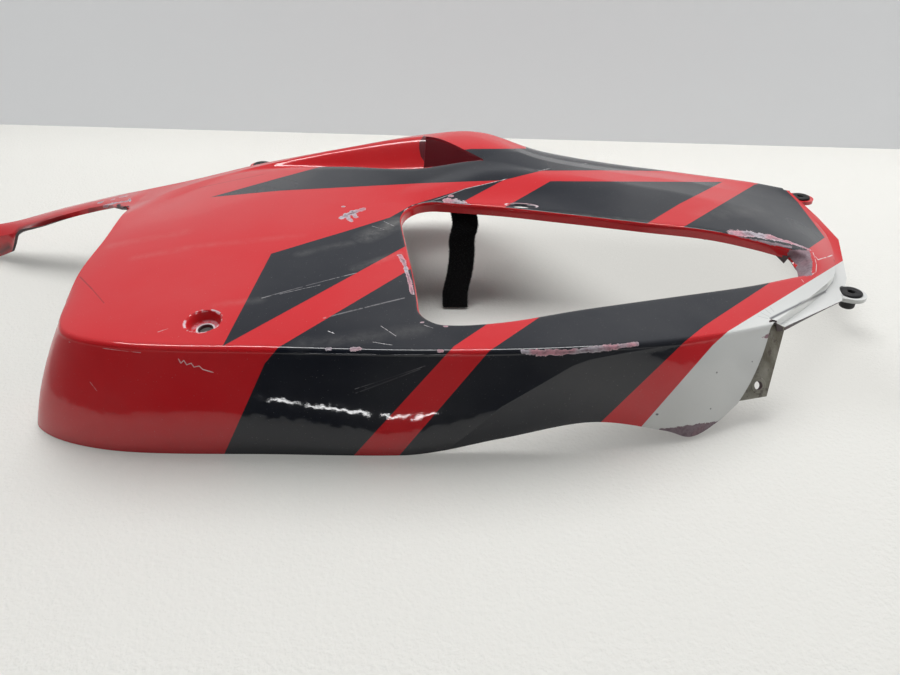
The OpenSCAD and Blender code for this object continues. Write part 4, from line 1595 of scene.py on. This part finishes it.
@dataclass
class SkinFeatures:
    """Tabs, recesses, holes and the gusset, joined to or cut from the swept shell."""

    skin: FairingSkin
    place: Placement
    slots: Sequence[Material] = ()

    def _tool(
        self, name: str, verts: Sequence[Vector], faces: Sequence[Sequence[int]], region: Region
    ) -> Object:
        """Makes a tool solid from points in mm."""
        obj = new_object(
            name, [self.place.out(v) for v in verts], faces, self.slots, [region.value] * len(faces)
        )
        tidy(obj)
        outwards(obj)
        return obj

    def _turned(
        self, name: str, profile: Sequence[Pixel], at: Matrix, region: Region, segments: int = 64
    ) -> Object:
        """Makes a turned tool; the profile runs from the axis back to the axis."""
        return self._tool(name, *revolved(profile, segments, at, closed=False), region)

    def _prism(self, name: str, shape: Sequence[Pixel], height: float, at: Matrix, region: Region) -> Object:
        """Makes a straight prism from an outline."""
        n = len(shape)
        verts = [at @ Vector((x, y, z)) for z in (0.0, height) for x, y in shape]
        faces = [tuple(range(n - 1, -1, -1)), tuple(range(n, 2 * n))] + [
            (k, (k + 1) % n, n + (k + 1) % n, n + k) for k in range(n)
        ]
        return self._tool(name, verts, faces, region)

    def _apply(self, body: Object, tools: Sequence[Object], operation: str) -> None:
        """Joins or cuts the tools one by one and deletes them."""
        for tool in tools:
            step = body.modifiers.new(tool.name, "BOOLEAN")
            step.operation, step.object, step.solver = operation, tool, "MANIFOLD"
        baked(body)
        for tool in tools:
            bpy.data.objects.remove(tool, do_unlink=True)

    def _tab(self, name: str, at: Point, back: Pixel) -> Object:
        """Makes one tongue with a round end and softened upper edge."""
        s = self.skin
        way = Vector((back[0] - at[0], back[1] - at[1]))
        reach, r = way.length, s.tab_radius
        turn = Matrix.Rotation(math.atan2(way[1], way[0]), 4, "Z")
        thick = s.skin + 0.6
        base = Matrix.Translation(Vector(at) - Vector((0, 0, thick))) @ turn
        arc = [(r * math.cos(math.radians(a)), r * math.sin(math.radians(a))) for a in range(90, 271, 5)]
        return self._prism(name, [(reach, r), *arc, (reach, -r)], thick + s.seat_depth, base, Region.LIVERY)

    def add(self, body: Object) -> None:
        """Adds and cuts every feature.

        Args:
            body: the swept shell, which is changed in place.
        """
        s = self.skin
        recess = s.stand_at(*s.recess_place)
        depth, r = s.recess_depth, s.recess_diameter / 2
        cup = [
            (0, -depth - s.skin), (r - 1, -depth - s.skin), (r + s.skin, -depth + 1), (r + s.skin, -1.2),
            (0, -1.2),
        ]
        hole = self._flange_hole()
        gusset = Matrix.Translation(Vector(s.gusset_at)) @ Matrix.Rotation(math.radians(-15), 4, "Z")
        gusset = gusset @ Matrix.Rotation(
            math.radians(90), 4, "X"
        ) @ Matrix.Translation(Vector((0, 0, -1.1)))
        peg = Matrix.Translation(Vector(s.peg_at))
        oval = self.oval_recess()
        self._apply(body, [
            self._turned("cup", cup, recess, Region.INNER),
            self._turned(
                "boss", [(0, -1.9), (6.25, -1.9), (6.25, 1.3), (5.6, 1.9), (0, 1.9)], hole, Region.BARE, 40
            ),
            *(self._tab(f"{name}_tab", at, back) for (name, at), back in zip(s.tabs.items(), s.tab_roots)),
            self._prism("gusset", [(-7, 2.5), (4.2, -6.5), (7, 0.5)], 2.2, gusset, Region.EDGE),
            self._prism("peg", [(-2.5, -1.1), (2.5, -1.1), (2.5, 1.1), (-2.5, 1.1)], 4.5, peg, Region.EDGE),
        ], "UNION")
        screw, fh = s.screw_diameter / 2, s.flange_hole_diameter / 2
        low = -depth - s.skin - 2
        dish = [(0, -depth), (r - 2.8, -depth), (r - 2.0, -depth + 0.7), (r - 0.9, -1.7), (r - 0.2, -0.5),
                (r + 0.8, 0.15), (r + 1.0, 1.5), (0, 1.5)]
        through = [
            (0, low), (screw, low), (screw, -depth - 0.4), (screw + 0.6, -depth + 0.3), (0, -depth + 0.3)
        ]
        shallow = [(0, -1.7), (5.6, -1.7), (8.6, -0.5), (10, 0.2), (10, 1.5), (0, 1.5)]
        cuts = [
            self._turned("dish", dish, recess, Region.PLAIN, 72),
            self._turned("screw_hole", through, recess, Region.EDGE, 48),
            self._turned("flange_hole", [(0, -5), (fh, -5), (fh, 5), (0, 5)], hole, Region.EDGE, 40),
            self._turned("oval_dish", shallow, oval, Region.LIVERY, 72),
            self._turned("oval_hole", [(0, -6), (4.6, -6), (4.6, -1.5), (0, -1.5)], oval, Region.EDGE, 48),
        ]
        seat, bore = s.nut_flange_diameter / 2 + 0.3, s.nut_body_diameter / 2
        for name, at in s.tabs.items():
            up = Matrix.Translation(Vector(at))
            cuts.append(
                self._turned(f"{name}_seat", [(0, 0), (seat, 0), (seat, 12), (0, 12)], up, Region.LIVERY)
            )
            cuts.append(
                self._turned(f"{name}_bore", [(0, -5), (bore, -5), (bore, 1), (0, 1)], up, Region.EDGE)
            )
        self._apply(body, cuts, "DIFFERENCE")

    def oval_recess(self) -> Matrix:
        """Returns the frame of the oval recess on the vent's far rim, stretched along the rim."""
        return self.skin.stand_at(*self.skin.oval_place) @ Matrix.Diagonal((1.6, 0.5, 1, 1))

    def _flange_hole(self) -> Matrix:
        """Returns the frame of the screw hole in the front wall flange."""
        s = self.skin
        j0, j1 = s._row(0, 0.12), s._row(0, 0.35)
        i = s.n_face + s.ledge_steps.index(0.5)
        a, b = s.outer[i][j0], s.outer[i][j1]
        n = s._normal(i, j0)
        return standing(mix(a, b, 0.35) - n * (s.skin / 2), n)


# --------------------------------------------------------------------------- fittings


@dataclass
class WellNut:
    """A rubber well nut with its threaded brass insert, upright on a tab."""

    name: str
    at: Point
    place: Placement
    rubber: Material
    brass: Material
    flange_diameter: float = 19.0
    flange_thickness: float = 2.5
    body_diameter: float = 12.7
    body_length: float = 13.0
    insert_diameter: float = 8.0
    insert_length: float = 8.0
    bore_diameter: float = 5.0
    thread_pitch: float = 0.8

    def rubber_body(self) -> Object:
        """Makes the moulded rubber part with rounded rims and a domed flange."""
        f, b, i = self.flange_diameter / 2, self.body_diameter / 2, self.insert_diameter / 2
        t, low = self.flange_thickness, -self.body_length
        hole = (self.bore_diameter + 1) / 2
        shelf = low + self.insert_length
        profile = [
            (hole, shelf), (hole, t - 0.9), (
                hole + 0.35, t - 0.45
            ), (hole + 0.9, t - 0.2), (hole + 2.2, t - 0.02), (f - 1.6, t - 0.1),
            (f - 0.7, t - 0.35), (f - 0.15, t - 0.9), (f, t - 1.5), (f - 0.1, 0.35), (f - 0.45, 0.0),
            (b + 0.1, 0.0), (b, -0.2), (b, low + 1.6), (b - 0.25, low + 0.5), (b - 0.8, low),
            (i + 0.3, low), (i, low + 0.3), (i, shelf),
        ]
        verts, faces = revolved(profile[::-1], 72, Matrix.Translation(Vector(self.at)))
        obj = new_object(
            f"{self.name}_well_nut_rubber", [self.place.out(v) for v in verts], faces, [self.rubber]
        )
        outwards(obj)
        shade(obj, 50)
        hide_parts(f"{self.name}_well_nut")
        return obj

    def insert(self) -> Object:
        """Makes the brass insert; its thread turns come from a node tree."""
        i, b = self.insert_diameter / 2 - 0.02, self.bore_diameter / 2
        low, high = -self.body_length, -self.body_length + self.insert_length - 0.02
        profile = [
            (b, low + 0.4), (b + 0.4, low), (i - 0.3, low), (i, low + 0.3), (i, high - 0.3),
            (i - 0.3, high), (b + 0.4, high), (b, high - 0.4),
        ]
        verts, faces = revolved(profile, 56, Matrix.Translation(Vector(self.at)))
        obj = new_object(
            f"{self.name}_brass_insert", [self.place.out(v) for v in verts], faces, [self.brass]
        )
        outwards(obj)
        turns = int((self.insert_length - 1.2) / self.thread_pitch)
        start = self.place.out(Vector(self.at) + Vector((0, 0, low + 0.7)))
        thread_turns(obj, start, turns, self.thread_pitch * MM, (b + 0.03) * MM, 0.34 * MM, self.brass)
        shade(obj, 40)
        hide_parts(f"{self.name}_insert")
        return obj


class Tree(Nodes):
    """A geometry node tree with named inputs, put on an object and applied."""

    def __init__(self, name: str) -> None:
        """Makes the tree with its geometry sockets."""
        super().__init__(bpy.data.node_groups.new(name, "GeometryNodeTree"))
        for way in ("INPUT", "OUTPUT"):
            self.tree.interface.new_socket("Geometry", in_out=way, socket_type="NodeSocketGeometry")
        self.start, self.end = self.node("NodeGroupInput"), self.node("NodeGroupOutput")
        self.values: dict[str, object] = {}

    def input(self, name: str, kind: str, value) -> None:
        """Adds a named input with the value that it gets."""
        made = self.tree.interface.new_socket(name, in_out="INPUT", socket_type=kind)
        self.values[made.identifier] = value

    def link(self, a: Socket, b: Socket) -> None:
        """Links an output to an input."""
        self.tree.links.new(a, b)

    def finish(self, geometry: Socket) -> None:
        """Realizes the instances, sets their material and joins the piece's own mesh."""
        real, dress = self.node("GeometryNodeRealizeInstances"), self.node("GeometryNodeSetMaterial")
        join = self.node("GeometryNodeJoinGeometry")
        self.link(geometry, real.inputs[0])
        self.link(real.outputs[0], dress.inputs["Geometry"])
        self.link(self.start.outputs["Finish"], dress.inputs["Material"])
        self.link(dress.outputs[0], join.inputs[0])
        self.link(self.start.outputs["Geometry"], join.inputs[0])
        self.link(join.outputs[0], self.end.inputs[0])

    def apply(self, obj: Object) -> Object:
        """Puts the tree on an object, sets its inputs and makes the result plain mesh."""
        step = obj.modifiers.new(self.tree.name, "NODES")
        step.node_group = self.tree
        for key, value in self.values.items():
            step[key] = value
        obj.update_tag()
        return baked(obj)


def thread_turns(
    obj: Object, start: Vector, turns: int, pitch: float, radius: float, height: float, finish: Material
) -> None:
    """Adds the turns of a thread to a bore.

    Args:
        obj: the piece with the bore.
        start: centre of the lowest turn, in metres.
        turns: how many.
        pitch: their distance in metres.
        radius: of the bore, in metres.
        height: of a turn's section, in metres.
        finish: their material.
    """
    t = Tree("thread_turns")
    t.input("Turns", "NodeSocketInt", turns)
    t.input("Pitch", "NodeSocketFloat", pitch)
    t.input("Radius", "NodeSocketFloat", radius)
    t.input("Height", "NodeSocketFloat", height)
    t.input("Start", "NodeSocketVector", tuple(start))
    t.input("Finish", "NodeSocketMaterial", finish)
    step = t.node("ShaderNodeCombineXYZ")
    line = t.node("GeometryNodeMeshLine", mode="OFFSET")
    t.link(t.start.outputs["Turns"], line.inputs["Count"])
    t.link(t.start.outputs["Start"], line.inputs["Start Location"])
    t.link(t.start.outputs["Pitch"], step.inputs[2])
    t.link(step.outputs[0], line.inputs["Offset"])
    circle, section = t.node("GeometryNodeCurvePrimitiveCircle"), t.node("GeometryNodeCurvePrimitiveCircle")
    circle.inputs["Resolution"].default_value = 32
    section.inputs["Resolution"].default_value = 5
    t.link(t.start.outputs["Radius"], circle.inputs["Radius"])
    t.link(t.start.outputs["Height"], section.inputs["Radius"])
    ridge = t.node("GeometryNodeCurveToMesh")
    t.link(circle.outputs[0], ridge.inputs[0])
    t.link(section.outputs[0], ridge.inputs[1])
    many = t.node("GeometryNodeInstanceOnPoints")
    t.link(line.outputs[0], many.inputs["Points"])
    t.link(ridge.outputs[0], many.inputs["Instance"])
    t.finish(many.outputs[0])
    t.apply(obj)


@dataclass
class FoamStrip:
    """Foam strip that hangs behind the vent's far flange, with frayed edges."""

    skin: FairingSkin
    place: Placement
    finish: Material
    width: float = 24.0
    thickness: float = 5.0
    length: int = 98
    fibres: int = 5200
    fibre_length: float = 0.0013
    seed: int = 11

    def path(self) -> list[Vector]:
        """Returns the middle line of the strip, in mm."""
        s = self.skin
        top = s.face_point(4.72, s.lines(4.72), 4, 0.12) - Vector((0, 0, s.skin + 0.1))
        rest = [(14, 229, 74), (11, 226, 60), (11, 222, 46), (9, 216, 30), (5, 209, 14), (5, 203, 1)]
        return [top, top + Vector((0, -0.5, -9))] + [Vector(p) for p in rest]

    def build(self) -> Object:
        """Makes the strip with its uneven cut edges and fibres."""
        rail = Rail(self.path())
        n_along, n_round = 72, 28
        verts: list[Vector] = []
        for k in range(n_along + 1):
            c = rail.at(k / n_along * (len(rail.stations) - 1))
            for m in range(n_round):
                a = 2 * math.pi * m / n_round
                # a flat section with soft corners
                x, y = math.copysign(
                    abs(math.cos(a)) ** 0.35, math.cos(a)
                ), math.copysign(abs(math.sin(a)) ** 0.35, math.sin(a))
                ragged = 1 + 0.035 * noise.noise(
                    Vector((c[2] * 0.35, m * 0.9, 3.1))
                ) + 0.02 * noise.noise(Vector((c[2] * 1.3, m * 2.0, 7.7)))
                p = c + Vector((x * self.width / 2 * ragged * 0.97, y * self.thickness / 2 * 0.94, 0))
                p[2] = max(
                    p[2] + 0.5 * noise.noise(Vector((p[0] * 0.4, p[1] * 0.4, k * 0.5))) * (0 < k), 1.7
                )
                verts.append(p)
        faces = [tuple(range(n_round - 1, -1, -1)), tuple(n_along * n_round + m for m in range(n_round))]
        for k in range(n_along):
            for m in range(n_round):
                w = (m + 1) % n_round
                faces.append(
                    (k * n_round + m, k * n_round + w, (k + 1) * n_round + w, (k + 1) * n_round + m)
                )
        obj = new_object("foam_strip_felt", [self.place.out(v) for v in verts], faces, [self.finish])
        outwards(obj)
        self._fray(obj)
        shade(obj, 60)
        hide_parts("foam_strip")
        return obj

    def _fray(self, obj: Object) -> None:
        """Adds short fibres all over the strip."""
        t = Tree("felt_fibres")
        surface = 2 * (self.width + self.thickness) * self.length
        t.input("Count", "NodeSocketFloat", self.fibres / surface / (MM * MM))
        t.input("Length", "NodeSocketFloat", self.fibre_length)
        t.input("Seed", "NodeSocketInt", self.seed)
        t.input("Finish", "NodeSocketMaterial", self.finish)
        spread = t.node("GeometryNodeDistributePointsOnFaces")
        t.link(t.start.outputs["Geometry"], spread.inputs["Mesh"])
        t.link(t.start.outputs["Count"], spread.inputs["Density"])
        t.link(t.start.outputs["Seed"], spread.inputs["Seed"])
        cone = t.node("GeometryNodeMeshCone")
        cone.inputs["Vertices"].default_value = 3
        cone.inputs["Radius Top"].default_value = 0.00003
        cone.inputs["Radius Bottom"].default_value = 0.00022
        t.link(t.start.outputs["Length"], cone.inputs["Depth"])
        lean = t.node("FunctionNodeRandomValue", data_type="FLOAT_VECTOR")
        lean.inputs[0].default_value = (-0.9, -0.9, -3.0)
        lean.inputs[1].default_value = (0.9, 0.9, 3.0)
        turn = t.node("FunctionNodeRotateEuler", rotation_type="EULER", space="LOCAL")
        many = t.node("GeometryNodeInstanceOnPoints")
        t.link(spread.outputs["Points"], many.inputs["Points"])
        t.link(cone.outputs[0], many.inputs["Instance"])
        t.link(spread.outputs["Rotation"], turn.inputs["Rotation"])
        t.link(lean.outputs[0], turn.inputs["Rotate By"])
        t.link(turn.outputs[0], many.inputs["Rotation"])
        t.finish(many.outputs[0])
        t.apply(obj)


# --------------------------------------------------------------------------- stage


@dataclass(frozen=True)
class Lamp:
    """One soft light turned to the middle of the object, for its lit or its mirroring side."""

    name: str
    at: Point
    size: tuple[float, float]
    power: float
    mirrored: bool = False

    def build(self) -> None:
        """Adds the light to the scene."""
        lamp = bpy.data.lights.new(self.name, "AREA")
        lamp.shape, lamp.energy = "RECTANGLE", self.power
        lamp.size, lamp.size_y = self.size
        obj = bpy.data.objects.new(self.name, lamp)
        obj.location, obj.rotation_euler = self.at, Vector(self.at).to_track_quat("Z", "Y").to_euler()
        obj.visible_glossy, obj.visible_diffuse = self.mirrored, not self.mirrored
        bpy.context.scene.collection.objects.link(obj)


def far_pane(x: float, z: float, width: float) -> Lamp:
    """Returns one low bright pane far in front, which the leaning part of the wall mirrors."""
    height, brightness = 0.055, 75
    return Lamp("far_pane", (x, -3.1, z), (width, height), brightness * width * height, True)


@dataclass
class Stage:
    """Pale floor, pale backdrop, soft lights and the camera; lengths in metres."""

    place: Placement
    floor_colour: Colour = srgb(226, 225, 220)
    wall_colour: Colour = srgb(228, 230, 231)
    floor_half: float = 3.0
    floor_z: float = -0.0004
    wall_height: float = 0.27
    sensor: float = 36.0
    lamps: tuple[Lamp, ...] = (
        Lamp("overhead", (-0.1, 0.7, 2.1), (1.5, 1.5), 45.0),
        Lamp("side_window", (1.9, 0.5, 0.75), (1.0, 1.0), 17.0),
        Lamp("strip", (0.0, 0.15, 2.2), (3.0, 0.3), 50.0, True),
        far_pane(-0.91, 0.34, 0.09), far_pane(-0.62, 0.34, 0.34),
        far_pane(-0.12, 0.34, 0.3), far_pane(0.22, 0.29, 0.24),
    )

    def floor(self) -> Object:
        """Makes the floor, whose glow gives way to its own shade under the shell, with a painted pool of light under
        the raised front half.
        """
        g = Graph("pale_floor")
        grain = g.noise(320.0, 5.0, 0.6)
        tone = g.blend(g.times(g.noise(6.0, 4.0), 0.12), self.floor_colour, srgb(206, 202, 196))
        g.surface(Base_Color=tone, Roughness=0.62, Specular_IOR_Level=0.3, Normal=g.bump(grain, 0.0008))
        # painted light: the glow is strong again in a pool under the raised front half
        lit = g.span(g.dot(g.position, (1.0, 0.55, 0.0)), 0.107, 0.267)
        parts = g.node("ShaderNodeSeparateXYZ")
        g.feed(parts.inputs[0], g.position)
        x, y = parts.outputs[0], parts.outputs[1]
        under = [
            g.span(x, -0.27, -0.20), g.span(x, 0.47, 0.40), g.span(y, -0.20, -0.12), g.span(y, 0.26, 0.20)
        ]
        share = g.math("MULTIPLY_ADD", g.math("MINIMUM", lit, g.span(x, 0.055, 0.135)), 0.84, 0.02)
        # outside the shell the glow dims towards the back: painted shade
        usual = g.math("MULTIPLY_ADD", g.span(y, 0.2, 0.6), -0.12, 0.26)
        g.glow(
            tone, g.math("MULTIPLY_ADD", g.many("MINIMUM", under), g.math("SUBTRACT", share, usual), usual)
        )
        h, z = self.floor_half, self.floor_z
        corners = [(-h, -h, z), (h, -h, z), (h, h, z), (-h, h, z)]
        return new_object("floor", corners, [(0, 1, 2, 3)], [g.material])

    def backdrop(self) -> Object:
        """Makes the low upright backdrop, which casts no shadow and hides nothing from behind."""
        g = Graph("pale_backdrop")
        tone = g.blend(g.times(g.noise(2.0, 3.0), 0.1), self.wall_colour, srgb(218, 220, 222))
        g.surface(Base_Color=tone, Roughness=0.7)
        g.glow(srgb(212, 213, 214), 0.6)
        g.one_sided()
        a, b = self.place.out((-775, 826, 0)), self.place.out((698, 688, 0))
        way = b - a
        a, b = a - way, b + way
        low, high = self.floor_z, self.wall_height
        corners = [(a[0], a[1], low), (b[0], b[1], low), (b[0], b[1], high), (a[0], a[1], high)]
        wall = new_object("backdrop", corners, [(0, 1, 2, 3)], [g.material])
        wall.visible_shadow = False
        return wall

    def lights(self) -> None:
        """Makes the soft lights and the world."""
        for lamp in self.lamps:
            lamp.build()
        world = bpy.data.worlds.new("studio")
        bpy.context.scene.world = world
        world.use_nodes = True
        world.node_tree.nodes.clear()
        sky = Nodes(world.node_tree)
        out, back = sky.node("ShaderNodeOutputWorld"), sky.node("ShaderNodeBackground")
        back.inputs["Color"].default_value = srgb(236, 238, 240)
        way, parts = sky.node("ShaderNodeTexCoord"), sky.node("ShaderNodeSeparateXYZ")
        rays, dim = sky.node("ShaderNodeLightPath"), sky.node("ShaderNodeMath", operation="MULTIPLY_ADD")
        rise = sky.node("ShaderNodeMapRange", interpolation_type="SMOOTHSTEP")
        # the near side of the room is dimmer, and in mirroring surfaces dimmer still
        for socket, value in zip(dim.inputs, (rays.outputs["Is Glossy Ray"], -0.2, 0.24)):
            sky.feed(socket, value)
        sky.feed(parts.inputs[0], way.outputs["Generated"])
        for socket, value in zip(rise.inputs, (parts.outputs["Y"], -0.7, 0.8, dim.outputs[0], 0.55)):
            sky.feed(socket, value)
        sky.feed(back.inputs["Strength"], rise.outputs[0])
        sky.feed(out.inputs["Surface"], back.outputs[0])

    def camera(self) -> None:
        """Sets the camera at the photograph's viewpoint."""
        view = self.place.view
        data = bpy.data.cameras.new("photo_camera")
        data.sensor_width = self.sensor
        data.lens = view.focal_px / view.width * self.sensor
        data.clip_start, data.clip_end = 0.01, 20.0
        cam = bpy.data.objects.new("photo_camera", data)
        cam.location = self.place.eye
        cam.rotation_euler = (math.radians(90 - view.pitch_deg), 0, 0)
        bpy.context.scene.collection.objects.link(cam)
        bpy.context.scene.camera = cam


# --------------------------------------------------------------------------- whole model


@dataclass
class Fairing:
    """The whole fairing: skin, fittings and foam."""

    place: Placement
    skin: FairingSkin

    def build_skin(self) -> Object:
        """Sweeps the skin, adds its features and paints it."""
        verts, faces, regions = self.skin.sweep()
        paint, plastic = Paint(), BarePlastic()
        points = [self.place.out(v) for v in verts]
        self.skin.tree, self.skin.face_regions = BVHTree.FromPolygons(points, faces), regions
        slots = [
            paint.livery(self.skin, self.place, "striped_paint"),
            paint.plain(self.skin, self.place),
            plastic.build("inner_plastic"),
            plastic.build("cut_edge", 0.9),
            DirtyFlange().build(),
            paint.livery(self.skin, self.place, "striped_paint_wall", wall=True),
        ]
        obj = new_object("fairing_skin", points, faces, slots, regions)
        SkinFeatures(self.skin, self.place, slots).add(obj)
        tidy(obj, 2e-6)
        shade(obj, 32)
        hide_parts("fairing_shell")
        return obj

    def build(self) -> list[Object]:
        """Builds every piece in order and returns them."""
        pieces = [self.build_skin()]
        rubber, brass = Rubber().build(), Brass().build()
        for name, at in self.skin.tabs.items():
            nut = WellNut(name, at, self.place, rubber, brass)
            pieces += [nut.rubber_body(), nut.insert()]
        foam = FoamStrip(self.skin, self.place, FoamFelt().build()).build()
        pieces.append(foam)
        for piece in pieces:
            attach(piece, "root")
            LOG.info("%s: %d faces", piece.name, len(piece.data.polygons))
        return pieces


def main() -> None:
    """Builds the stage and the fairing round the loaded frame."""
    logging.basicConfig(level=logging.INFO, format="%(name)s: %(message)s")
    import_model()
    skin = FairingSkin()
    place = Placement.from_frame(skin.front_tab)
    stage = Stage(place)
    stage.camera()
    floor, wall = stage.floor(), stage.backdrop()
    stage.lights()
    Fairing(place, skin).build()
    bpy.context.scene.view_settings.view_transform = "Standard"
    bpy.context.view_layer.update()


if __name__ == "__main__":
    main()
